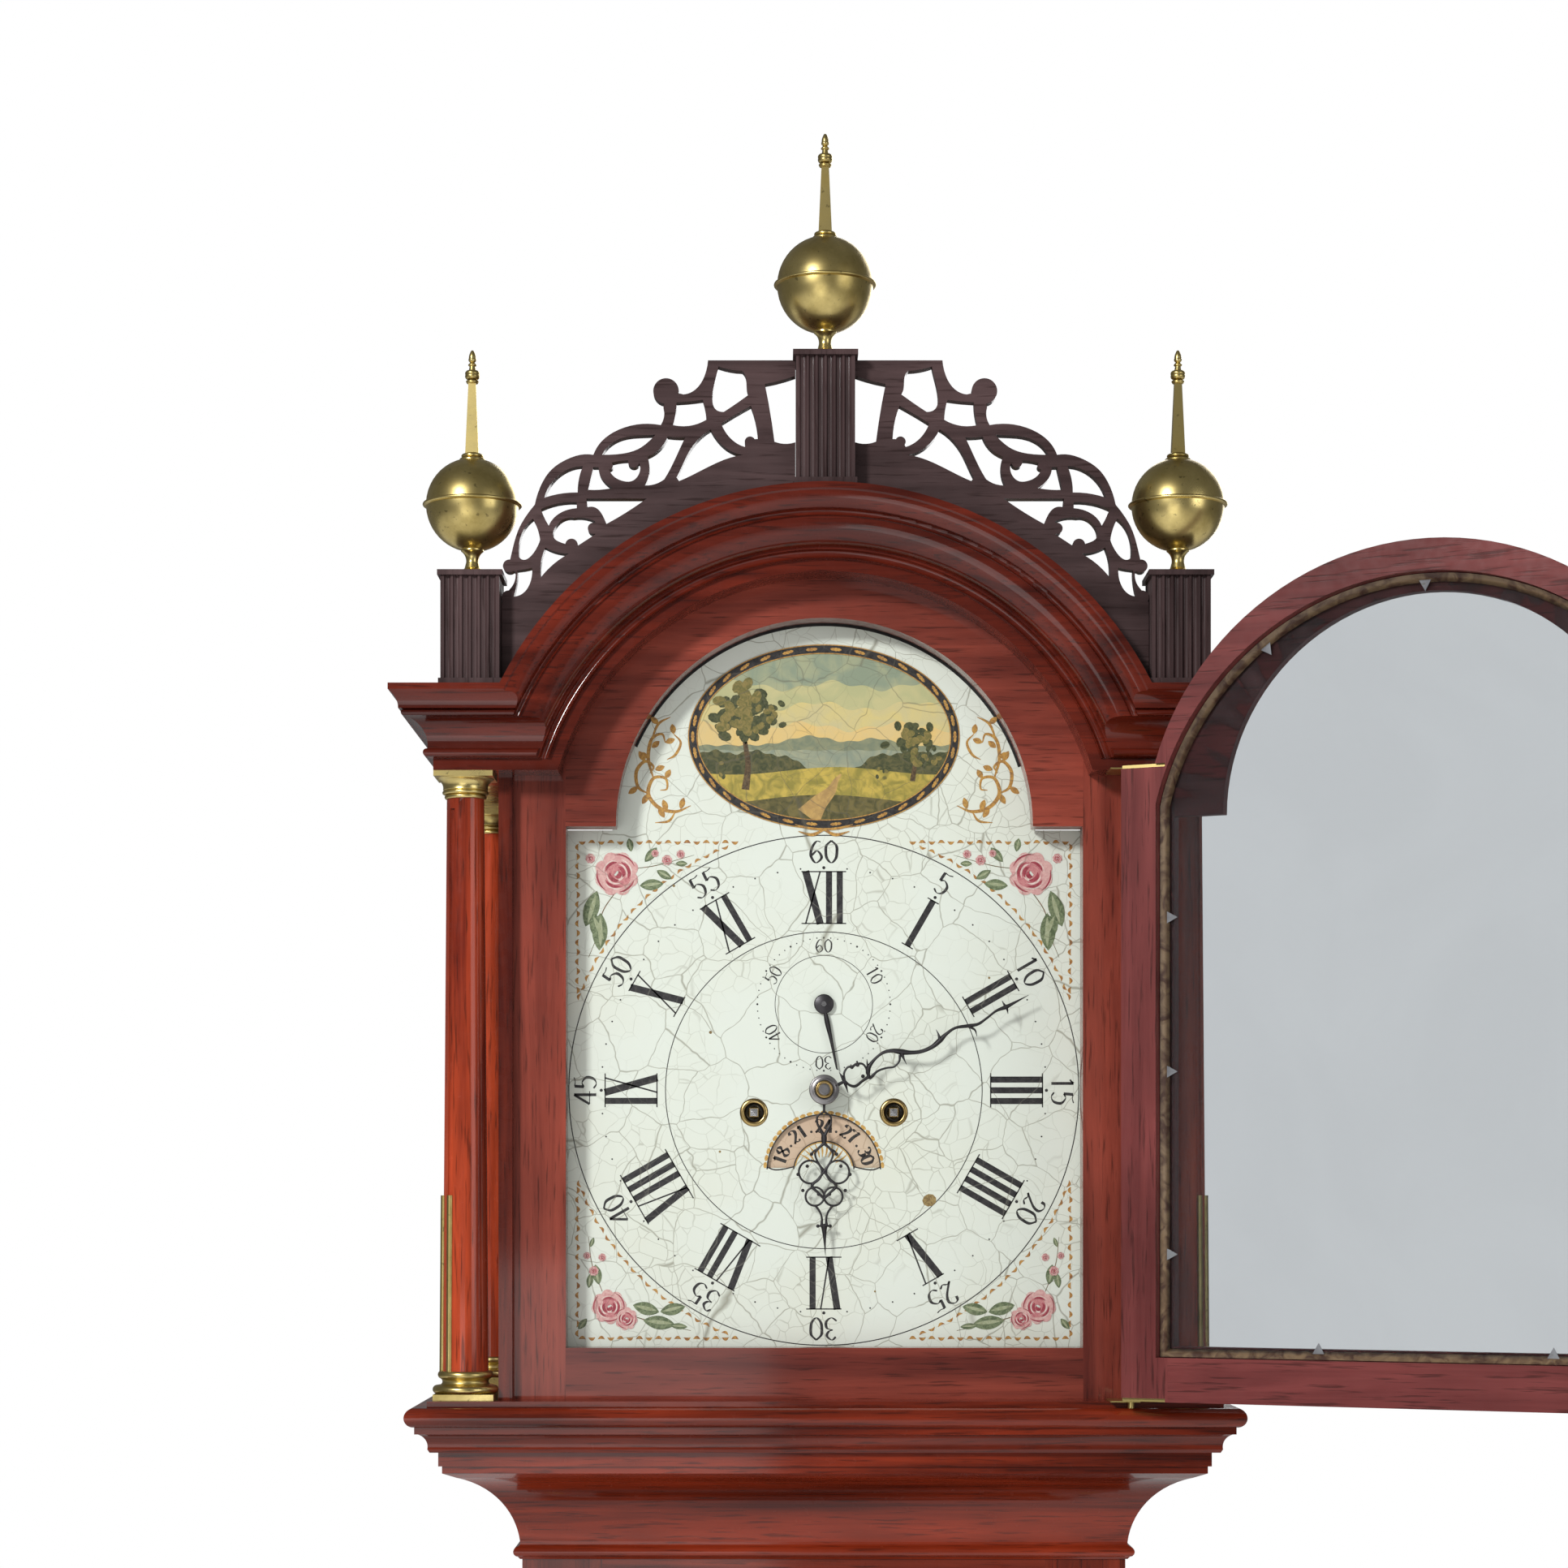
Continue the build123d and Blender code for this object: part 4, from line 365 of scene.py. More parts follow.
def disc(x, z, wide, high=None, turn=0.0, count=20):
    """A filled ellipse: (wide cos t, high sin t), turned and set at x, z."""
    t = np.linspace(0, 2 * pi, count, endpoint=False)
    u, v = wide * np.cos(t), (wide if high is None else high) * np.sin(t)
    c, s = cos(radians(turn)), sin(radians(turn))
    return np.stack([x + u * c - v * s, z + u * s + v * c], 1), [tuple(range(count))]


def leaf(x, z, long, wide, turn):
    """A pointed leaf: width is wide sin(pi t) along its length."""
    t = np.linspace(0, 1, 12)
    c, s = cos(radians(turn)), sin(radians(turn))
    return stroke(np.stack([x + long * t * c, z + long * t * s], 1), wide * np.sin(pi * t) ** 0.8 + 0.05)


def loop(wide, high, width, x=0.0, z=0.0, start=0.0, end=360.0, count=96):
    """An elliptical band from one angle to another, clockwise from the top."""
    t = np.radians(np.linspace(start, end, count))
    return stroke(np.stack([x + wide * np.sin(t), z + high * np.cos(t)], 1), width)


def join(shapes):
    """Several shapes as one."""
    points, faces, base = [], [], 0
    for shape_points, shape_faces in shapes:
        points.append(np.asarray(shape_points))
        faces += [tuple(base + index for index in face) for face in shape_faces]
        base += len(shape_points)
    return np.vstack(points), faces


def around(shapes, angle, radius):
    """Shapes moved out by a radius and turned clockwise about the middle."""
    points, faces = join(shapes)
    turn = radians(angle)
    u, v = points[:, 0], points[:, 1] + radius
    return np.stack([u * cos(turn) + v * sin(turn), v * cos(turn) - u * sin(turn)], 1), faces


def moved(shape, x, z):
    """A shape set at another place."""
    return shape[0] + np.array([x, z]), shape[1]


def flipped(shapes, across=-1, up=1):
    """Shapes mirrored left to right or top to bottom."""
    return [(points * np.array([across, up]), faces) for points, faces in shapes]


def piece(name, points, faces, material, body, smooth=False):
    """A new object from points in metres, riding on a body."""
    mesh = bpy.data.meshes.new(name)
    mesh.from_pydata(np.asarray(points).tolist(), [], faces)
    if smooth:
        mesh.polygons.foreach_set("use_smooth", np.ones(len(mesh.polygons), bool))
    mesh.materials.append(material)
    made = bpy.data.objects.new(name, mesh)
    bpy.context.scene.collection.objects.link(made)
    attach(made, body)
    return made


def painted(name, shapes, lift, material, body="case", y=DIAL_Y, step=0.0):
    """Flat shapes in millimetres about the arbor, off the dial by lift and each by a step more."""
    points, faces = join(shapes)
    raised = [np.full(len(shape[0]), step * (index % LAYERS)) for index, shape in enumerate(shapes)]
    level = y - (lift + np.concatenate(raised)) / 1000
    spots = np.column_stack([points[:, 0] / 1000, level, points[:, 1] / 1000 + ARBOR[2]])
    return piece(name, spots, faces, material, body)


def forged(knots, back, thick):
    """A hammered bar: at each station its left edge, raised middle, right edge and back."""
    line = flow(knots)
    normal, _ = sides(line[:, :2])
    half = line[:, 2:3] * 0.62
    count = len(line)
    flats = (line[:, :2] + normal * half, line[:, :2], line[:, :2] - normal * half, line[:, :2])
    depths = (back + 0.45 * thick, back + thick, back + 0.45 * thick, back)
    rows = [np.column_stack([flat[:, 0], np.full(count, -depth), flat[:, 1]])
            for flat, depth in zip(flats, depths)]
    return np.vstack(rows), (np.array(grid_faces(5, count)) % (4 * count)).tolist()


def spun(x, z, profile, count=40):
    """A round piece about a front to back axis, from (radius, forward) points."""
    profile = np.asarray(profile, float)
    t = np.linspace(0, 2 * pi, count, endpoint=False)
    radius, forward = profile[:, 0][:, None], profile[:, 1][:, None]
    points = np.stack([x + radius * np.cos(t), -forward + 0 * t, z + radius * np.sin(t)], 2).reshape(-1, 3)
    return points, grid_faces(len(profile), count, closed=True)


def knob(x, z, radius, back, thick):
    """A small dome."""
    return spun(x, z, [(radius, back), (radius * 0.92, back + thick * 0.6), (radius * 0.5, back + thick),
                       (0.01, back + thick * 1.1)], 16)


def solid(name, shapes, material, body, smooth=True):
    """Solid shapes in millimetres about the arbor, with -y as their forward distance from the dial."""
    points, faces = join(shapes)
    spots = points / 1000 + np.array([0, DIAL_Y, ARBOR[2]])
    return piece(name, spots, faces, material, body, smooth)


DIGITS = {
    "0": [[(0.3, 1), (0.08, 0.78), (0.05, 0.5), (0.1, 0.2), (0.3, 0), (0.5, 0.2), (0.55, 0.5), (0.52, 0.78),
           (0.3, 1)]],
    "1": [[(0.16, 0.84), (0.26, 0.92), (0.33, 1)], [(0.33, 1), (0.33, 0.5), (0.33, 0)]],
    "2": [[(0.1, 0.76), (0.14, 0.94), (0.32, 1), (0.52, 0.84), (0.46, 0.55), (0.2, 0.2), (0.04, 0.02)],
          [(0.04, 0.03), (0.2, 0.1), (0.4, 0.02), (0.57, 0.14)]],
    "3": [[(0.1, 0.86), (0.28, 1), (0.5, 0.82), (0.42, 0.62), (0.24, 0.55)],
          [(0.24, 0.55), (0.5, 0.46), (0.53, 0.18), (0.3, 0), (0.06, 0.14)]],
    "4": [[(0.44, 1), (0.22, 0.64), (0.02, 0.3)], [(0.02, 0.3), (0.3, 0.3), (0.6, 0.3)],
          [(0.44, 1), (0.44, 0.5), (0.44, 0)]],
    "5": [[(0.15, 0.98), (0.35, 0.95), (0.54, 1)], [(0.15, 0.98), (0.13, 0.75), (0.12, 0.56)],
          [(0.12, 0.56), (0.32, 0.64), (0.54, 0.44), (0.48, 0.12), (0.26, 0), (0.05, 0.12)]],
    "6": [[(0.5, 0.94), (0.3, 0.96), (0.1, 0.66), (0.06, 0.3), (0.28, 0), (0.54, 0.24), (0.34, 0.54),
           (0.1, 0.34)]],
    "7": [[(0.05, 0.84), (0.1, 0.98), (0.3, 0.94), (0.56, 1)], [(0.56, 1), (0.34, 0.5), (0.24, 0)]],
    "8": [[(0.3, 0.54), (0.1, 0.76), (0.3, 1), (0.5, 0.78), (0.3, 0.54), (0.05, 0.25), (0.3, 0), (0.56, 0.26),
           (0.3, 0.54)]],
    "9": [[(0.1, 0.06), (0.3, 0.04), (0.5, 0.34), (0.54, 0.7), (0.32, 1), (0.06, 0.76), (0.26, 0.46),
           (0.5, 0.66)]],
}
LETTERS = {
    "I": (6.3, [((3.15, 0), (3.15, 1), 3.6)]),
    "V": (13.2, [((1.9, 1), (6.7, 0), 4.0), ((6.7, 0), (11.6, 1), 0.9)]),
    "X": (12.4, [((1.8, 1), (10.4, 0), 4.2), ((10.4, 1), (1.8, 0), 0.9)]),
}
HOURS = ("I", "II", "III", "IIII", "V", "VI", "VII", "VIII", "IX", "X", "XI", "XII")


def number(text, height, heavy=0.13):
    """Figures drawn with a broad pen, centred on the middle of their height."""
    shapes = []
    for place, figure in enumerate(text):
        for knots in DIGITS[figure]:
            shifted = (np.array(knots) - [0.3 + 0.34 * (len(text) - 1), 0.5] + [0.68 * place, 0]) * height
            shapes.append(pen(shifted, 0.035 * height, heavy * height))
    return shapes


def numeral(text, height):
    """An hour numeral of thick and thin bars between two hairline serifs."""
    wide = sum(LETTERS[letter][0] for letter in text)
    shapes, start = [], -wide / 2
    for letter in text:
        advance, bars = LETTERS[letter]
        for low, high, width in bars:
            ends = np.array([low, high]) * [1, height] + [start, 0]
            shapes.append(stroke(ends, width))
        start += advance
    for level in (0.3, height - 0.3):
        shapes.append(stroke([(-wide / 2 - 0.6, level), (wide / 2 + 0.6, level)], 0.7))
    return shapes


def dots(radius, size, big, x=0.0, z=0.0):
    """Sixty dots round a circle, every fifth one larger."""
    return [disc(x + radius * sin(pi * i / 30), z + radius * cos(pi * i / 30), big if i % 5 == 0 else size,
                 count=10)
            for i in range(60)]


def dashes(path, pitch=5.6, width=1.9):
    """Short curled dashes along a line."""
    path = np.asarray(path, float)
    run = np.concatenate([[0], np.cumsum(np.linalg.norm(np.diff(path, axis=0), axis=1))])
    shapes = []
    for index, start in enumerate(np.arange(0, run[-1] - pitch, pitch)):
        t = start + pitch * np.array([0.05, 0.4, 0.78])
        spots = np.stack([np.interp(t, run, path[:, 0]), np.interp(t, run, path[:, 1])], 1)
        normal, _ = sides(spots)
        spots = spots + normal * np.array([[0.55], [-0.5], [0.45]]) * (1 if index % 2 else -1)
        shapes.append(inked(np.column_stack([spots, [0.15, width, 0.2]])))
    return shapes


def corner_line(top, left, radius):
    """A corner's three sided border: along the top, down the side and back round the circle."""
    start = np.arctan2(top, -(radius ** 2 - top ** 2) ** 0.5)
    end = np.arctan2((radius ** 2 - left ** 2) ** 0.5, -left)
    t = np.linspace(end, start, 24)
    arc = np.stack([radius * np.cos(t), radius * np.sin(t)], 1)
    return [arc[-1], (-left, top), arc[0]], arc


def rose(x, z, size, tones):
    """A full bloom as four lists: broad pale petals, mid petals, deep curved strokes and white edges."""
    pale, mid, deep, white = tones
    for i in range(8):
        turn = 45 * i + 5 * size
        a = radians(turn)
        pale.append(disc(x + size * 0.56 * cos(a), z + size * 0.56 * sin(a), size * 0.42, size * 0.36, turn,
                         16))
    for i in range(6):
        turn = 60 * i + 20 + 9 * size
        a = radians(turn)
        mid.append(disc(x + size * (0.36 * cos(a) + 0.08), z + size * (0.36 * sin(a) - 0.06), size * 0.3,
                        size * 0.2, turn + 90, 14))
    for reach, width, start, sweep in ((0.86, 0.07, 20, 70), (0.8, 0.08, 130, 60), (0.84, 0.07, 235, 75),
                                       (0.56, 0.12, 60, 80), (0.54, 0.14, 190, 90), (0.5, 0.12, 300, 80),
                                       (0.3, 0.17, 20, 120), (0.3, 0.17, 180, 110), (0.13, 0.2, 90, 170)):
        t = np.radians(np.linspace(start, start + sweep, 5) + 11 * size)
        swell = size * width * np.array([0.15, 0.8, 1, 0.8, 0.15])
        deep.append(inked(np.column_stack([x + size * reach * np.cos(t), z + size * reach * np.sin(t),
                                           swell])))
        white.append(inked(np.column_stack([x + size * (reach + width * 0.8) * np.cos(t + 0.1),
                                            z + size * (reach + width * 0.8) * np.sin(t + 0.1),
                                            swell * 0.5])))


class CLOCK_OT_woods(bpy.types.Operator):
    """Polish the mahogany case, darken the fretwork and leave the boards behind bare"""

    bl_idname = "clock.woods"
    bl_label = "Woods"

    def execute(self, context):
        look = context.scene.clock_look
        dark, light = tuple(look.wood_dark), tuple(look.wood_light)
        shine = {"Coat_Weight": 0.6, "Coat_Roughness": 0.07, "Specular_IOR_Level": 0.1}

        def wood(name, stile, pale=light, deep=dark, polish=0.27, **more):
            return surface(name, "wood", {"Stile": stile, "Dark": deep, "Light": pale, "Polish": polish},
                           bump=0.16, **{**shine, **more})

        column = tuple(look.column_light)
        dress(wood("Mahogany upright", EVERYWHERE), "waist_sides", "waist_door", "quarter_columns",
              "hood_sides")
        dress(wood("Mahogany columns", EVERYWHERE, (0.56, 0.075, 0.024), (0.12, 0.013, 0.006), 0.2),
              "hood_columns")
        dress(wood("Mahogany lying", NOWHERE), "bracket_feet", "base_panels")
        dress(wood("Mahogany mouldings", NOWHERE, column, (0.035, 0.004, 0.002), 0.2), "base_moulding",
              "waist_base_moulding", "throat_moulding", "hood_base_moulding")
        dress(wood("Mahogany cornice", NOWHERE, (0.15, 0.018, 0.008), (0.03, 0.0035, 0.002), 0.22),
              "arch_cornice")
        dress(wood("Mahogany frame", WAIST_OPENING_HALF), "waist_front_frame")
        dress(wood("Mahogany mask", MASK_HALF, (0.27, 0.052, 0.032), (0.085, 0.014, 0.01), 0.36), "dial_mask")
        dress(wood("Mahogany frieze", NOWHERE, (0.2, 0.03, 0.014)), "hood_frieze")
        dress(wood("Mahogany door", SIGHT_HALF, (0.19, 0.045, 0.042), (0.08, 0.016, 0.016), 0.4, turn=True,
                   Coat_Weight=0.2), "door_frame")
        fret = tuple(look.fret_light)
        for name, stile, part in (("Darkened fret", NOWHERE, "fretwork"),
                                  ("Darkened plinths", EVERYWHERE, "finial_plinths")):
            dress(wood(name, stile, fret, (0.028, 0.016, 0.016), 0.38, Coat_Weight=0.2), part)
        dress(wood("Bare board", EVERYWHERE, (0.33, 0.2, 0.1), (0.15, 0.08, 0.04), 0.6, Coat_Weight=0.0),
              "backboard", "hood_roof", "seatboard")
        return {"FINISHED"}


class CLOCK_OT_metals(bpy.types.Operator):
    """Age the brass, steel, bell and iron"""

    bl_idname = "clock.metals"
    bl_label = "Metals"

    def execute(self, context):
        look = context.scene.clock_look
        bright, dull = tuple(look.brass), tuple(look.tarnish)

        def worked(name, one, two, polish):
            return metal(name, one, two, polish, bump=0.05, distance=0.0002)

        dress(worked("Aged brass", bright, dull, 0.3), "finials", "column_brasses", "quarter_column_brasses",
              "waist_door_hinges", "waist_door_brasses", "door_pivots", "door_straps")
        dress(worked("Movement brass", (0.62, 0.45, 0.2), (0.42, 0.29, 0.12), 0.28), "movement_plates",
              "back_cock", "going_great_wheel", "strike_great_wheel", "hour_wheel", "minute_wheel",
              "calendar_ring", "going_barrel", "strike_barrel", "going_pulley", "strike_pulley", "pin_wheel",
              "pendulum_bob", "lock_bolt")
        dress(worked("Steel", (0.5, 0.5, 0.51), (0.26, 0.25, 0.25), 0.26), "door_key", "centre_arbor",
              "third_arbor", "escape_arbor", "pallet_arbor", "hammer", "pendulum_rod")
        dress(worked("Bell metal", (0.5, 0.44, 0.32), (0.3, 0.26, 0.17), 0.24), "bell")
        dress(worked("Blackened iron", (0.09, 0.09, 0.09), (0.035, 0.033, 0.03), 0.5), "going_weight",
              "strike_weight")
        return {"FINISHED"}


class CLOCK_OT_glazing(bpy.types.Operator):
    """Clear the glass and add the door's old putty and its glazing points"""

    bl_idname = "clock.glazing"
    bl_label = "Glazing"

    def execute(self, context):
        for name, tint in (("Door glass", (0.54, 0.568, 0.588)), ("Side glass", (0.8, 0.82, 0.83))):
            glass = paint(name, tint, tuple(0.97 * part for part in tint), 9.0, bump=0.01,
                          Transmission_Weight=1.0, IOR=1.45)
            roughness = glass.node_tree.nodes["Principled BSDF"].inputs["Roughness"]
            glass.node_tree.links.remove(roughness.links[0])
            roughness.default_value = 0.02
            dress(glass, "door_glass" if name == "Door glass" else "side_lights")
        t = np.radians(np.linspace(-76.6, 76.6, 60))
        arch = np.stack([RABBET_ARCH * np.sin(t), RABBET_CENTRE + RABBET_ARCH * np.cos(t)], 1)
        path = np.vstack([[(0, RABBET_LOW)], [(-RABBET_HALF, RABBET_LOW)], [(-RABBET_HALF, RABBET_SPRING)],
                          arch,
                          [(RABBET_HALF, RABBET_SPRING)], [(RABBET_HALF, RABBET_LOW)], [(0, RABBET_LOW)]])
        normal, _ = sides(path)
        rows = []
        for inward, y in ((0, -103.4), (4.4, -103.4), (1.6, -101.0), (0, -99.5)):
            flat = path - normal * inward
            edge = RABBET_HALF - inward
            rows.append(np.column_stack([np.clip(flat[:, 0], -edge, edge), np.full(len(path), y),
                                         np.maximum(flat[:, 1], RABBET_LOW + inward)]))
        putty = paint("Old putty", (0.2, 0.13, 0.07), (0.06, 0.025, 0.014), 120.0, bump=0.5, distance=0.001)
        piece("door_putty", self.opened(np.vstack(rows)), grid_faces(4, len(path)), putty, "hood_door",
              True)
        tin = metal("Glazing point tin", (0.2, 0.21, 0.22), (0.1, 0.1, 0.11), 0.5, 0.5)
        points, faces = [], []
        for x, z, dx, dz in ((-151, 1760, 1, 0), (-151, 1860, 1, 0), (-151, 1960, 1, 0), (151, 1765, -1, 0),
                             (151, 1868, -1, 0), (151, 1955, -1, 0), (-70, 1707.5, 0, 1), (60, 1707.5, 0, 1),
                             (-92, 2106, 0.55, -0.8), (92, 2106, -0.55, -0.8), (0, 2136.5, 0, -1)):
            base = len(points)
            side = np.array([-dz, dx]) * 5
            tip = np.array([x, z]) + np.array([dx, dz]) * 9
            for y in (-102.6, -102.0):
                for spot in ((x + side[0], z + side[1]), tuple(tip), (x - side[0], z - side[1])):
                    points.append((spot[0], y - (0.8 if spot == tuple(tip) else 0), spot[1]))
            faces += [(base, base + 1, base + 2), (base + 5, base + 4, base + 3),
                      (base, base + 3, base + 4, base + 1), (base + 1, base + 4, base + 5, base + 2)]
        piece("door_points", self.opened(np.array(points)), faces, tin, "hood_door")
        return {"FINISHED"}

    @staticmethod
    def opened(points):
        """Points of the shut door, in millimetres, turned about the pivot to where it stands open."""
        c, s = cos(DOOR_OPEN), sin(DOOR_OPEN)
        x, y = points[:, 0] - DOOR_PIVOT[0] * 1000, points[:, 1] - DOOR_PIVOT[1] * 1000
        return np.column_stack([DOOR_PIVOT[0] * 1000 + x * c - y * s, DOOR_PIVOT[1] * 1000 + x * s + y * c,
                                points[:, 2]]) / 1000


class CLOCK_OT_dial(bpy.types.Operator):
    """Paint the dial's crackled ground, circles, numerals, dots and winding hole bushes, with painted shade
    along the arch edge and in the winding holes
    """

    bl_idname = "clock.dial"
    bl_label = "Dial"

    def execute(self, context):
        look = context.scene.clock_look
        ground = surface("Dial paint", "crackle", {"Ground": tuple(look.paint), "Crack": (0.2, 0.19, 0.13)},
                         bump=0.25, distance=0.0003, Coat_Weight=0.25, Coat_Roughness=0.25)
        dress(ground, "dial_plate")
        ink = paint("Dial ink", (0.014, 0.013, 0.015), (0.032, 0.03, 0.03), 400.0, 0.5, (0.25, 0.25, 0.2))
        high, small = look.numeral_height, look.minute_height
        shapes = [loop(look.chapter_radius, look.chapter_radius, 0.6, count=240),
                  loop(look.inner_radius, look.inner_radius, 0.5, count=160)]
        for index, text in enumerate(HOURS):
            shapes.append(around(numeral(text, high), 30 * (index + 1), 97.6))
            shapes.append(around(number(str(5 * (index + 1)), small), 30 * (index + 1), 140))
        shapes += dots(130.6, 0.5, 0.95)
        up = SECONDS_UP
        shapes.append(loop(28.6, 28.6, 0.35, z=up))
        shapes += dots(39, 0.38, 0.6, z=up)
        for count in range(10, 70, 10):
            shapes.append(moved(around(number(str(count), 7.6, 0.12), 6 * count, 34.3), 0, up))
        painted("dial_figures", shapes, 0.06, ink)
        # Painted shade: a near-black band on the dial along the arch's edge, where the mask's shadow and the
        # gap behind it fall.
        shade = paint("Dial edge painted shade", (0.006, 0.006, 0.006), (0.012, 0.011, 0.01))
        painted("dial_arch_painted_shade", [loop(121.4, 121.4, 3.2, z=152.5, start=-66, end=72, count=80)], 0.05, shade)
        brass = metal("Bush brass", (0.56, 0.42, 0.18), (0.3, 0.2, 0.07), 0.26)
        # Painted shade: the black winding wells stand for the shaded inside of the case seen through the
        # winding holes.
        black = paint("Winding hole painted shade", (0.004, 0.004, 0.004), (0.008, 0.007, 0.006))
        bushes, shade_wells = [], []
        for name in ("going_barrel_turn", "strike_barrel_turn"):
            x, _, z = (np.array(places[name]) - (0, 0, ARBOR[2])) * 1000
            bushes.append(spun(x, z, [(5.5, -1.4), (5.6, 0.5), (6.2, 0.95), (7.4, 0.95), (8.3, 0.1)]))
            shade_wells.append(spun(x, z, [(5.55, 0.2), (5.5, -2.6), (3.8, -2.7)]))
        solid("winding_bushes", bushes, brass, "case")
        solid("winding_hole_painted_shade", shade_wells, black, "case")
        bright = metal("Square steel", (0.85, 0.85, 0.86), (0.6, 0.6, 0.61), 0.2)
        for side in ("going", "strike"):
            x, _, z = (np.array(places[side + "_barrel_turn"]) - (0, 0, ARBOR[2])) * 1000
            front = (DIAL_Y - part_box(side + "_barrel")[0].y) * 1000
            rim = [(2.45, front - 2.0), (2.45, front - 0.3), (2.15, front + 0.15), (0.01, front + 0.2)]
            points, faces = spun(0, 0, rim, 4)
            turned = np.column_stack([points[:, 0] - points[:, 2] + x, points[:, 1],
                                      points[:, 0] + points[:, 2] + z])
            solid(side + "_square_end", [(turned, faces)], bright, side + "_barrel", False)
        bruise = paint("Paint loss", (0.16, 0.1, 0.035), (0.32, 0.23, 0.08), 500.0, bump=0.4)
        painted("dial_losses", [disc(61.9, -64.5, 4.2, 3.7, 20, 9), disc(-66.5, 34, 0.9), disc(-61, -36, 0.7),
                                disc(-88, 120, 0.8), disc(97, 66, 0.7), disc(30, -118, 0.6)], 0.08, bruise)
        return {"FINISHED"}


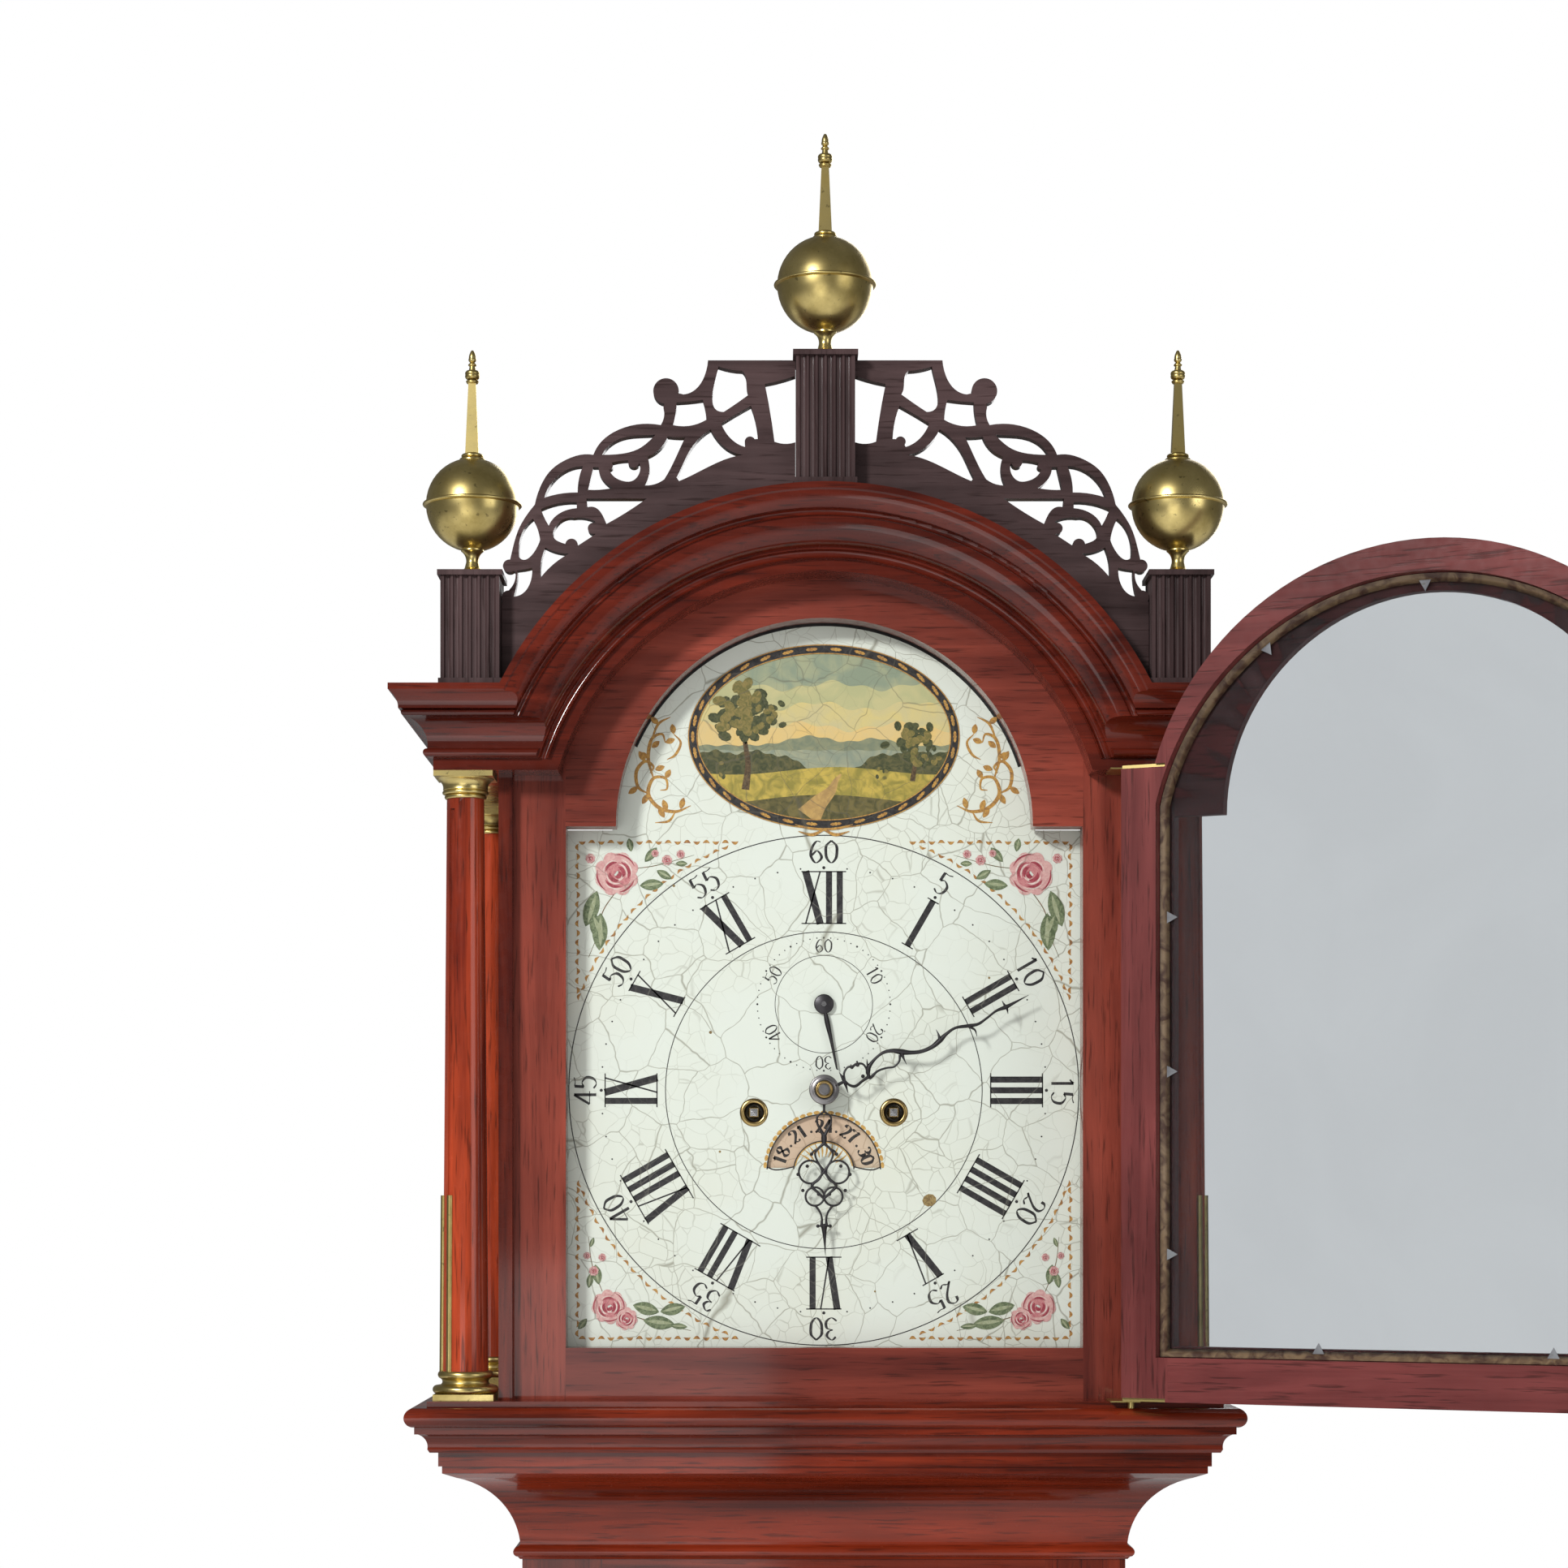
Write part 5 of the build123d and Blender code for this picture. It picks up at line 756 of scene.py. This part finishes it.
class CLOCK_OT_picture(bpy.types.Operator):
    """Paint a quiet landscape in the arch, with its border and gold scrolls"""

    bl_idname = "clock.picture"
    bl_label = "Arch picture"

    def execute(self, context):
        middle = 207.4
        wide, high = 74.8, 49.3

        def tone(name, first, second, size=150.0):
            return paint(name, first, second, size, 0.75, bump=0.2, Coat_Weight=0.3)

        def under(level, lift, name, material):
            """The part of the oval below a line level(x)."""
            x = np.linspace(-0.998 * wide, 0.998 * wide, 120)
            edge = high * np.sqrt(1 - (x / wide) ** 2)
            top = np.clip(level(x), -edge, edge)
            points = np.vstack([np.stack([x, middle + top], 1), np.stack([x, middle - edge], 1)])
            painted(name, [(points, grid_faces(2, len(x)))], lift, material)

        sky = (("picture_sky_high", 200, (0.24, 0.29, 0.2), (0.34, 0.36, 0.21)),
               ("picture_sky_mid", 30, (0.42, 0.42, 0.21), (0.5, 0.46, 0.22)),
               ("picture_sky_low", 18, (0.6, 0.5, 0.2), (0.52, 0.46, 0.23)),
               ("picture_sky_glow", 6, (0.68, 0.48, 0.17), (0.62, 0.47, 0.2)))
        for place, (name, level, first, second) in enumerate(sky):
            under(lambda x, level=level: level + 2.2 * np.sin(x / 9 + place) + 1.2 * np.sin(x / 3.1),
                  0.08 + 0.02 * place, name, tone(name, first, second, 60.0))
        under(lambda x: -5 + 5.5 * np.exp(-((x + 8) / 17) ** 2) + 4 * np.exp(-((x - 30) / 14) ** 2)
              + 0.5 * np.sin(x / 1.9),
              0.18, "picture_hills", tone("Far hills", (0.17, 0.2, 0.13), (0.24, 0.25, 0.14)))
        under(lambda x: -8 + 0.4 * np.sin(x / 2.5), 0.2, "picture_lake",
              tone("Lake", (0.33, 0.34, 0.22), (0.22, 0.26, 0.19), 90.0))
        under(lambda x: -14 + 5 * np.tanh((np.abs(x - 4) - 22) / 9) + 1.1 * np.sin(x / 3.7)
              + 0.6 * np.sin(x / 1.3),
              0.22, "picture_trees", tone("Woods", (0.045, 0.055, 0.02), (0.11, 0.1, 0.03), 260.0))
        under(lambda x: -20 + 2.2 * np.sin(x / 19 + 1.2), 0.24, "picture_meadow",
              tone("Meadow", (0.26, 0.22, 0.04), (0.5, 0.37, 0.06), 130.0))
        under(lambda x: -37 + 3 * np.cos(x / 24), 0.26, "picture_bank",
              tone("Bank", (0.07, 0.065, 0.02), (0.15, 0.12, 0.03), 190.0))
        path = [inked([(-9, middle - 47, 15), (-3, middle - 39, 10), (4, middle - 32, 6),
                       (7, middle - 26, 3.2), (10, middle - 22, 1.2)])]
        painted("picture_path", path, 0.27, tone("Path", (0.5, 0.32, 0.1), (0.36, 0.22, 0.07)))
        trunk = [inked([(-46, middle - 31, 4.6), (-44.5, middle - 16, 3.2), (-46.5, middle + 2, 2.3),
                        (-43, middle + 19, 1.1)]),
                 inked([(-45.5, middle - 4, 1.7), (-51, middle + 6, 1.1), (-56, middle + 10, 0.5)]),
                 inked([(-45, middle - 1, 1.6), (-38, middle + 9, 1), (-32, middle + 12, 0.4)]),
                 inked([(52, middle - 26, 3), (53.5, middle - 14, 2.2), (52, middle, 1)])]
        painted("picture_trunks", trunk, 0.29, tone("Bark", (0.06, 0.035, 0.015), (0.13, 0.08, 0.03), 400.0))
        crown, light = [], []
        seeded = np.random.default_rng(7)
        for x, z, size, count in ((-46, 15, 15, 70), (-56, 9, 9, 24), (-33, 13, 9, 26), (53, -2, 11, 42),
                                  (61, -12, 7, 14), (36, -20, 5, 10), (-62, -22, 6, 12)):
            spots = seeded.normal(0, 0.48, (count, 2)) * size + (x, z)
            inside = ((spots[:, 0] / (wide - 4)) ** 2 + (spots[:, 1] / (high - 4)) ** 2) < 1
            for place, (u, v) in enumerate(spots[inside]):
                (light if place % 3 == 0 else crown).append(
                    disc(u, middle + v, size * 0.27, size * 0.19, 40 * place, 9))
        painted("picture_leaves", crown, 0.32, step=LAYER,
                material=tone("Leaves", (0.035, 0.045, 0.015), (0.08, 0.085, 0.025), 400.0))
        painted("picture_lit_leaves", light, 0.4, step=LAYER,
                material=tone("Lit leaves", (0.13, 0.12, 0.03), (0.24, 0.18, 0.045), 400.0))
        black = tone("Oval border", (0.012, 0.011, 0.012), (0.025, 0.022, 0.02), 300.0)
        painted("picture_border", [loop(76.9, 51.4, 5.0, z=middle, count=160)], 0.48, black)
        gold = tone("Painted gold", (0.52, 0.29, 0.06), (0.3, 0.14, 0.03), 500.0)
        lines = [loop(79.4, 53.9, 0.6, z=middle, count=160), loop(74.4, 48.9, 0.55, z=middle, count=160)]
        for i in range(34):
            a = 2 * pi * (i + 0.5) / 34
            x, z, turn = 76.9 * sin(a), middle + 51.4 * cos(a), -np.degrees(a)
            lines += [leaf(x, z, 3.4, 1.7, turn), leaf(x, z, 3.4, 1.7, turn + 180), disc(x, z, 1.1, count=8)]
        bow = [inked([(0, middle - 54.5, 1.2), (7, middle - 57.5, 1.9), (15, middle - 55.5, 0.4)]),
               inked([(0, middle - 54.5, 1), (9, middle - 53.6, 1.5), (17, middle - 51.5, 0.3)])]
        lines += bow + flipped(bow)
        painted("picture_gold", lines, 0.5, gold, step=LAYER)
        scroll = [inked([(-84, 169, 0.4), (-93, 165.5, 1.8), (-103, 168, 2.2), (-109, 176, 2.3),
                         (-106, 185, 1.9), (-99, 185, 1.5), (-98, 179, 1.1), (-102, 178, 0.5)]),
                  inked([(-109, 176, 0.7), (-115, 180, 1.8), (-116, 189, 2.1), (-111, 195, 1.8),
                         (-106, 192, 1.3), (-108, 188, 0.5)]),
                  inked([(-106, 185, 0.8), (-109, 197, 2), (-107, 208, 1.9), (-101, 211, 1.4),
                         (-99, 206, 0.6)]),
                  inked([(-107, 208, 0.8), (-103, 217, 1.6), (-96, 221, 0.4)]),
                  inked([(-93, 165.5, 0.6), (-97, 160, 1.5), (-105, 159, 0.4)]),
                  inked([(-98, 196, 0.4), (-93, 199, 1.6), (-90, 206, 1.4), (-94, 211, 0.5)])]
        buds = [leaf(x, z, long, 3.4, turn) for x, z, long, turn in (
            (-115, 180, 7, 215), (-111, 195, 7, 120), (-103, 168, 7, 300), (-99, 206, 6, 20),
            (-109, 197, 6, 150),
            (-99, 185, 6, 60), (-90, 167, 7, 75), (-103, 217, 6, 140), (-109, 176, 7, 240),
            (-94, 211, 6, 100), (-105, 190, 6, 20), (-98, 166, 7, 110), (-107, 203, 6, 40))]
        curls = [moved(shape, 6, -2) for shape in scroll + buds]
        painted("arch_scrolls", curls + flipped(curls), 0.06, gold, step=LAYER)
        return {"FINISHED"}


class CLOCK_OT_corners(bpy.types.Operator):
    """Paint the gold borders and rose sprays in the four corners"""

    bl_idname = "clock.corners"
    bl_label = "Corner flowers"

    def execute(self, context):
        def tone(name, first, second):
            return paint(name, first, second, 420.0, 0.6, bump=0.2)

        gold = tone("Border gold", (0.5, 0.28, 0.07), (0.26, 0.1, 0.025))
        edges = []
        for up in (1, -1):
            angle, arc = corner_line(145.5, 144.5, 153.8)
            band = dashes(angle) + dashes(arc, 6.0, 1.6)
            edges += flipped(band, 1, up) + flipped(band, -1, up)
        painted("corner_borders", edges, 0.06, gold)
        greens, pales, stems, pinks = [], [], [], [[], [], [], []]
        top = ([(-121.5, 127, 13.5)], [(-92, 135, 3.2), (-84, 138.5, 2.6), (-99, 139, 2.3), (-137, 136, 3)],
               [(-133, 117, 22, 9, 252), (-136, 104, 19, 9, 292), (-131, 104, 22, 9, 268),
                (-108, 120, 14, 6.5, 5),
                (-105, 134, 11, 5, 50), (-98, 129, 10, 4.6, 330), (-113, 140, 8, 4, 100),
                (-87, 133, 7, 3.4, 0)],
               [[(-121, 118, 0.5), (-130, 104, 0.6), (-133, 86, 0.4)],
                [(-112, 130, 0.4), (-98, 132, 0.5), (-76, 138, 0.2)],
                [(-133, 90, 0.4), (-138, 78, 0.3)]])
        low = ([(-126, -127, 10.5), (-116, -134, 7)], [(-135, -106, 3), (-130, -98, 2.4), (-139, -97, 2.2)],
               [(-112, -126, 16, 7.5, 345), (-106, -135, 19, 8, 352), (-96, -130, 15, 7, 12),
                (-132, -114, 12, 5.5, 100),
                (-138, -116, 9, 4, 80), (-139, -134, 8, 4, 230), (-90, -138, 10, 3.6, 355),
                (-137, -92, 6, 2.5, 70)],
               [[(-120, -130, 0.5), (-100, -136, 0.6), (-78, -141, 0.3)],
                [(-130, -118, 0.4), (-136, -102, 0.5), (-138, -86, 0.2)]])
        for roses, blooms, leaves, lines in (top, low):
            corner = [[], [], [], []]
            for x, z, size in roses:
                rose(x, z, size, corner)
            for x, z, size in blooms:
                rose(x, z, size, corner)
            green = [leaf(*spot) for spot in leaves]
            pale = [leaf(x + 0.1 * long * cos(radians(turn)), z + 0.1 * long * sin(radians(turn)), long * 0.8,
                         wide * 0.28, turn + 2) for x, z, long, wide, turn in leaves]
            stem = [inked(line) for line in lines]
            for across in (1, -1):
                greens += flipped(green, across)
                pales += flipped(pale, across)
                stems += flipped(stem, across)
                for tone_list, shapes in zip(pinks, corner):
                    tone_list += flipped(shapes, across)
        painted("corner_stems", stems, 0.06, tone("Stem", (0.1, 0.12, 0.05), (0.2, 0.1, 0.05)))
        painted("corner_leaves", greens, 0.08, step=LAYER,
                material=tone("Leaf green", (0.085, 0.12, 0.055), (0.2, 0.25, 0.13)))
        painted("corner_leaf_lights", pales, 0.16, step=LAYER,
                material=tone("Leaf light", (0.36, 0.4, 0.25), (0.26, 0.3, 0.16)))
        for name, lift, shapes, first, second in (
                ("corner_petals", 0.24, pinks[0], (0.66, 0.42, 0.38), (0.56, 0.28, 0.27)),
                ("corner_mid_petals", 0.32, pinks[1], (0.56, 0.24, 0.23), (0.45, 0.13, 0.15)),
                ("corner_petal_edges", 0.4, pinks[3], (0.74, 0.62, 0.56), (0.66, 0.45, 0.4)),
                ("corner_hearts", 0.48, pinks[2], (0.27, 0.025, 0.045), (0.4, 0.07, 0.09))):
            painted(name, shapes, lift, tone(name.replace("_", " "), first, second), step=LAYER)
        return {"FINISHED"}


class CLOCK_OT_calendar(bpy.types.Operator):
    """Paint the calendar disc, its day numbers and the edging of its opening"""

    bl_idname = "clock.calendar"
    bl_label = "Calendar"

    def execute(self, context):
        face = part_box("calendar_ring")[0].y
        down = -CALENDAR_DOWN
        ground = surface("Calendar ground", "crackle",
                         {"Ground": (0.55, 0.39, 0.27), "Crack": (0.3, 0.2, 0.12)}, bump=0.2)
        painted("calendar_face", [loop(25.5, 25.5, 17.4, z=down, count=90)], 0.06, ground, "calendar",
                face)
        ink = paint("Calendar ink", (0.012, 0.01, 0.01), (0.04, 0.035, 0.03), 500.0)
        days = []
        for day in range(3, 33, 3):
            angle = 360 * (day - 24) / 31
            days.append(moved(around(number(str(day), 7.8, 0.25), angle, 26.5), 0, down))
            days.append(moved(around([disc(0, 0, 0.75)], angle + 17.4, 24.3), 0, down))
        painted("calendar_days", days, 0.1, ink, "calendar", face)
        dark = [loop(33.3, 33.3, 0.8, z=down, start=-88, end=88),
                loop(17.7, 17.7, 0.7, z=down, start=-86, end=86)]
        for side in (-1, 1):
            dark.append(inked([(side * 33.2, down + 2.4, 0.8), (side * 29, down + 0.9, 0.8),
                               (side * 24, down + 1.2, 0.8), (side * 17.7, down + 2.6, 0.7)]))
        painted("calendar_edge", dark, 0.07, ink)
        gold = paint("Calendar gold", (0.42, 0.22, 0.05), (0.6, 0.38, 0.1), 500.0, bump=0.3)
        petals = [disc(34.6 * sin(radians(a)), down + 34.6 * cos(radians(a)), 1.9, 1.05, -a, 10)
                  for a in range(-84, 90, 7)]
        rays = [moved(around([inked([(0, 0, 0.3), (0.5, 4, 1.1), (0, 8.5, 0.3)])], a, 8.4), 0, down)
                for a in range(-54, 60, 12)]
        painted("calendar_gold", petals + rays + [loop(17, 17, 0.7, z=down, start=-80, end=80)], 0.06, gold)
        return {"FINISHED"}


class CLOCK_OT_hands(bpy.types.Operator):
    """Forge the three pierced hands with the minute hand's collet and washer"""

    bl_idname = "clock.hands"
    bl_label = "Hands"

    def execute(self, context):
        steel = metal("Darkened hands", (0.055, 0.052, 0.056), (0.02, 0.018, 0.02), 0.42, 0.6)
        back = (DIAL_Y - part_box("minute_hand")[1].y) * 1000
        bars = [
            [(5, 1.6, 2.2), (8.5, 3.1, 1.6), (12.2, 5, 1.3)],
            [(8.7, 10.2, 0.2), (11.6, 5.3, 1.7), (14, -2, 0.2)],
            [(12.2, 5, 1), (14.9, 2.6, 1.2), (18.4, 2.1, 1.4), (22.3, 5, 1.3), (25.8, 7.4, 1.6)],
            [(12.2, 5, 0.9), (11.6, 9.4, 1), (13.6, 12.9, 1), (16.6, 13.5, 1.2), (18.8, 14.9, 1.2),
             (22.3, 15, 1), (24.5, 12.4, 1), (24.8, 9.4, 0.9)],
            [(25.8, 7.2, 1.2), (25.6, 11.5, 2.3), (26.7, 14.2, 1.9), (30.2, 18.4, 1.3), (34.6, 21.6, 1.5),
             (39.8, 22.7, 1.9), (45.1, 22, 2.7), (50.3, 21.6, 2), (56.4, 22.2, 1.8), (62.6, 24.7, 2),
             (67.4, 28.6, 2.5),
             (71.3, 32.5, 1.6), (76.6, 36, 1.3), (83.6, 37.1, 1.7), (89.7, 38.2, 1.4), (94.9, 41.7, 1.1),
             (100.2, 45.8, 1.2), (105.9, 48.1, 2), (108.9, 49.6, 1.5), (119.2, 55.1, 0.2)],
            [(24.9, 17.8, 0.2), (25.2, 15, 0.9), (25.8, 12.4, 1.6)],
            [(25.6, 9.8, 1.6), (26.7, 6.9, 1.5), (31.1, 10.7, 1.1), (36.3, 12.6, 1), (40.7, 13.3, 0.9),
             (43.7, 16.4, 1), (44.2, 20.3, 1.3)],
            [(45.1, 21.2, 2.2), (46.4, 18.1, 1), (48.1, 14.6, 0.2)],
            [(67.6, 29, 1.9), (66.5, 32.5, 0.8), (65.2, 35, 0.2)],
            [(84.4, 36.9, 1.5), (87.9, 34.7, 0.9), (89.1, 31, 0.2)],
            [(105.9, 48.1, 1.6), (104.6, 50.2, 0.8), (103.7, 51.8, 0.2)],
            [(106.3, 47.9, 1.6), (106.9, 46, 0.8), (107.2, 44.1, 0.2)]]
        shapes = [forged(bar, back, 1.5) for bar in bars]
        shapes += [knob(x, z, 1.15, back, 1.5) for x, z in ((16.2, 13.1), (19.5, 14.4), (22.6, 7.8))]
        minute = solid("minute_hand_forged", shapes, steel, "minute")
        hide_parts("minute_hand")
        plate = metal("Collet steel", (0.42, 0.41, 0.41), (0.2, 0.19, 0.19), 0.3)
        collet = [spun(0, 0, [(2.4, back), (8.4, back), (8.8, back + 0.8), (8.2, back + 1.4),
                              (7.4, back + 1.0),
                              (6.6, back + 1.7), (5.5, back + 1.9), (5.2, back + 1.4), (2.4, back + 1.4)],
                              56)]
        solid("hand_collet", collet, plate, "minute")
        brass = metal("Collet brass", (0.6, 0.44, 0.18), (0.36, 0.25, 0.1), 0.28)
        washer = spun(0, 0, [(5.0, back + 4.0), (5.1, back + 4.7), (4.3, back + 5.0), (3.4, back + 4.6)], 48)
        solid("hand_washer", [washer], brass, "minute")
        back = (DIAL_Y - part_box("hour_hand")[1].y) * 1000
        half = [
            [(0, -12.9, 0.9), (-3.6, -15.2, 1), (-4, -19.3, 1), (-1.7, -23.9, 1.5), (-0.2, -26.9, 1.8)],
            [(0, -31.3, 1.5), (-3.8, -34.8, 1.1), (-5.2, -38, 1), (-3.2, -43, 1), (0, -47.7, 1.5)],
            [(-3.8, -34.6, 1), (-6.2, -36, 0.9), (-7.2, -38, 0.8)],
            [(0, -47.7, 1.3), (-3.4, -52.2, 1.2), (-7, -56.1, 1.5), (-3.4, -60.2, 1.2), (0.2, -63.6, 1.4)],
            [(-4.8, -67.9, 1.2), (-2.4, -71.4, 1), (-1.3, -75, 1), (-1.4, -79.2, 1.5)]]
        shapes = []
        for across in (1, -1):
            for bar in half:
                shapes.append(forged([(x * across, z, w) for x, z, w in bar], back, 1.5))
            for x, z, radius in ((-8, -48, 6.7), (-5.4, -62.3, 5.4)):
                t = np.linspace(0, 2 * pi, 25)
                band = np.column_stack([x * across + radius * np.sin(t), z + radius * np.cos(t),
                                        np.full(25, 1.0)])
                shapes.append(forged(band, back, 1.4))
            for x, z in ((-7.3, -37.6), (-15.2, -49.4), (-9.8, -44.6), (-12.4, -58.8), (-3.2, -61),
                         (-3.6, -79.6)):
                shapes.append(knob(x * across, z, 1.05, back, 1.4))
        shapes += [forged(bar, back, 1.5) for bar in (
            [(0, -6, 3), (0, -9.5, 1.2), (0, -12.9, 1.4)], [(0, -25.5, 2.2), (0, -28.5, 2.7), (0, -32, 1.8)],
            [(-3.6, -79.6, 0.8), (0, -79.4, 1.2), (3.6, -79.6, 0.8)],
            [(0, -78.2, 3.6), (0.2, -84, 1.9), (0.8, -97, 0.1)])]
        shapes.append(spun(0, 0, [(5.5, back), (8.3, back), (8.6, back + 0.7), (8, back + 1.2),
                                  (5.5, back + 1.2)], 48))
        hour = solid("hour_hand_forged", shapes, steel, "hour")
        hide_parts("hour_hand")
        back = (DIAL_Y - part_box("seconds_hand")[1].y) * 1000
        up = SECONDS_UP
        shapes = [spun(0, up, [(0.3, back), (5.5, back), (5.8, back + 0.5), (5.2, back + 0.9),
                               (0.01, back + 1)], 36),
                  forged([(0.6, up - 4, 1.6), (2, up - 11, 2.4), (4.2, up - 21, 1.6), (7.3, up - 36.5, 0.9),
                          (7.6, up - 38.4, 0.3)], back, 0.9)]
        seconds = solid("seconds_hand_forged", shapes, steel, "seconds")
        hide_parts("seconds_hand")
        return {"FINISHED"}


class CLOCK_OT_lines(bpy.types.Operator):
    """Hang the two gut lines down round the weight pulleys and back up"""

    bl_idname = "clock.lines"
    bl_label = "Weight lines"

    def execute(self, context):
        gut = paint("Gut line", (0.42, 0.3, 0.15), (0.24, 0.16, 0.08), 700.0, bump=0.6, distance=0.0006)
        for name in ("going", "strike"):
            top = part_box(name + "_line")[1].z
            x, _, z = places[name + "_pulley_turn"]
            t = np.linspace(-pi / 2, pi / 2, 25)
            bend = np.stack([abs(x) + WRAP_RADIUS * np.sin(t), z - WRAP_RADIUS * np.cos(t)], 1)
            rise = np.linspace(0, 1, 30)[:, None]
            inner = np.array([[abs(x) - WRAP_RADIUS, top]]) * (1 - rise) + bend[:1] * rise
            outer = bend[-1:] * (1 - rise) + np.array([[abs(x) + WRAP_RADIUS, top - KNOT_DROP]]) * rise
            path = np.vstack([inner[:-1], bend, outer[1:]]) * np.array([np.sign(x), 1])
            normal, _ = sides(path)
            turn = np.linspace(0, 2 * pi, 10, endpoint=False)
            flat = path[:, None, :] + normal[:, None, :] * (LINE_RADIUS * np.cos(turn))[None, :, None]
            depth = np.broadcast_to(LINE_RADIUS * np.sin(turn), flat.shape[:2])
            points = np.stack([flat[..., 0], depth, flat[..., 1]], 2).reshape(-1, 3)
            faces = grid_faces(len(path), len(turn), closed=True)
            line = piece(name + "_gut", points, faces, gut, "case", True)
            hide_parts(name + "_line")
            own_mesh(line)
        return {"FINISHED"}


class CLOCK_OT_stage(bpy.types.Operator):
    """Set the floor, the light and the camera"""

    bl_idname = "clock.stage"
    bl_label = "Stage"

    def execute(self, context):
        scene, look = context.scene, context.scene.clock_look
        points, faces = disc(0, 0, FLOOR_RADIUS, count=64)
        mesh = bpy.data.meshes.new("floor")
        mesh.from_pydata(np.insert(points, 2, -0.0005, axis=1).tolist(), [], faces)
        mesh.materials.append(paint("Floor", (0.9, 0.9, 0.9), (0.87, 0.87, 0.87), 3.0, bump=0.01,
                                    Emission_Color=(1, 1, 1, 1), Emission_Strength=0.12))
        floor = bpy.data.objects.new("floor", mesh)
        scene.collection.objects.link(floor)
        world = bpy.data.worlds.new("studio")
        world.use_nodes = True
        scene.world = world
        tree = world.node_tree
        shown = node(tree, "LightPath")
        seen = node(tree, "Math", {0: shown["Is Camera Ray"], 1: shown["Is Transmission Ray"]},
                    operation="MAXIMUM")[0]
        level = spread(tree, shown["Is Glossy Ray"], 0.0, 1.0, 0.38, 0.14)
        strength = node(tree, "Math", {0: seen, 1: level}, operation="MAXIMUM")[0]
        background = tree.nodes["Background"]
        background.inputs[0].default_value = (1, 1, 1, 1)
        tree.links.new(strength, background.inputs[1])
        for name, power, size, spot, aim in (
                ("key", look.key_power, 0.5, (-1.65, -2.8, 3.3), (0, 0, 1.9)),
                ("fill", look.fill_power, 1.6, (2.4, -2.4, 2.4), (0, 0, 1.7)),
                ("low", 14.0, 1.6, (-0.8, -3.4, 0.9), (0, 0, 1.2)),
                ("rear", 30.0, 1.6, (0.9, 2.4, 3.0), (0, 0, 2.0))):
            data = bpy.data.lights.new(name, "AREA")
            data.energy = power
            data.size = size
            lamp = bpy.data.objects.new(name, data)
            lamp.location = spot
            lamp.visible_camera = lamp.visible_transmission = False
            direction = Vector(aim) - Vector(spot)
            lamp.rotation_euler = direction.to_track_quat("-Z", "Y").to_euler()
            scene.collection.objects.link(lamp)
        data = bpy.data.cameras.new("camera")
        data.sensor_width = 36
        data.lens = LENS
        data.shift_x, data.shift_y = LENS_SHIFT
        camera = bpy.data.objects.new("camera", data)
        camera.location = (CAMERA_SPOT[0], DIAL_Y - CAMERA_DISTANCE, CAMERA_SPOT[1])
        camera.rotation_euler = (radians(90), 0, 0)
        scene.collection.objects.link(camera)
        scene.camera = camera
        scene.view_settings.view_transform = "Standard"
        return {"FINISHED"}


OPERATORS = (CLOCK_OT_woods, CLOCK_OT_metals, CLOCK_OT_glazing, CLOCK_OT_dial, CLOCK_OT_picture,
             CLOCK_OT_corners, CLOCK_OT_calendar, CLOCK_OT_hands, CLOCK_OT_lines, CLOCK_OT_stage)


class CLOCK_PT_panel(bpy.types.Panel):
    """The clock's steps and settings"""

    bl_idname = "CLOCK_PT_panel"
    bl_label = "Tall Case Clock"
    bl_space_type = "VIEW_3D"
    bl_region_type = "UI"
    bl_category = "Clock"

    def draw(self, context):
        for name in ClockLook.__annotations__:
            self.layout.prop(context.scene.clock_look, name)
        for operator in OPERATORS:
            self.layout.operator(operator.bl_idname)


def register():
    for each in (ClockLook, *OPERATORS, CLOCK_PT_panel):
        bpy.utils.register_class(each)
    bpy.types.Scene.clock_look = bpy.props.PointerProperty(type=ClockLook)


def unregister():
    del bpy.types.Scene.clock_look
    for each in (CLOCK_PT_panel, *reversed(OPERATORS), ClockLook):
        bpy.utils.unregister_class(each)


def main():
    register()
    for operator in OPERATORS:
        group, name = operator.bl_idname.split(".")
        getattr(getattr(bpy.ops, group), name)()


if __name__ == "__main__":
    main()
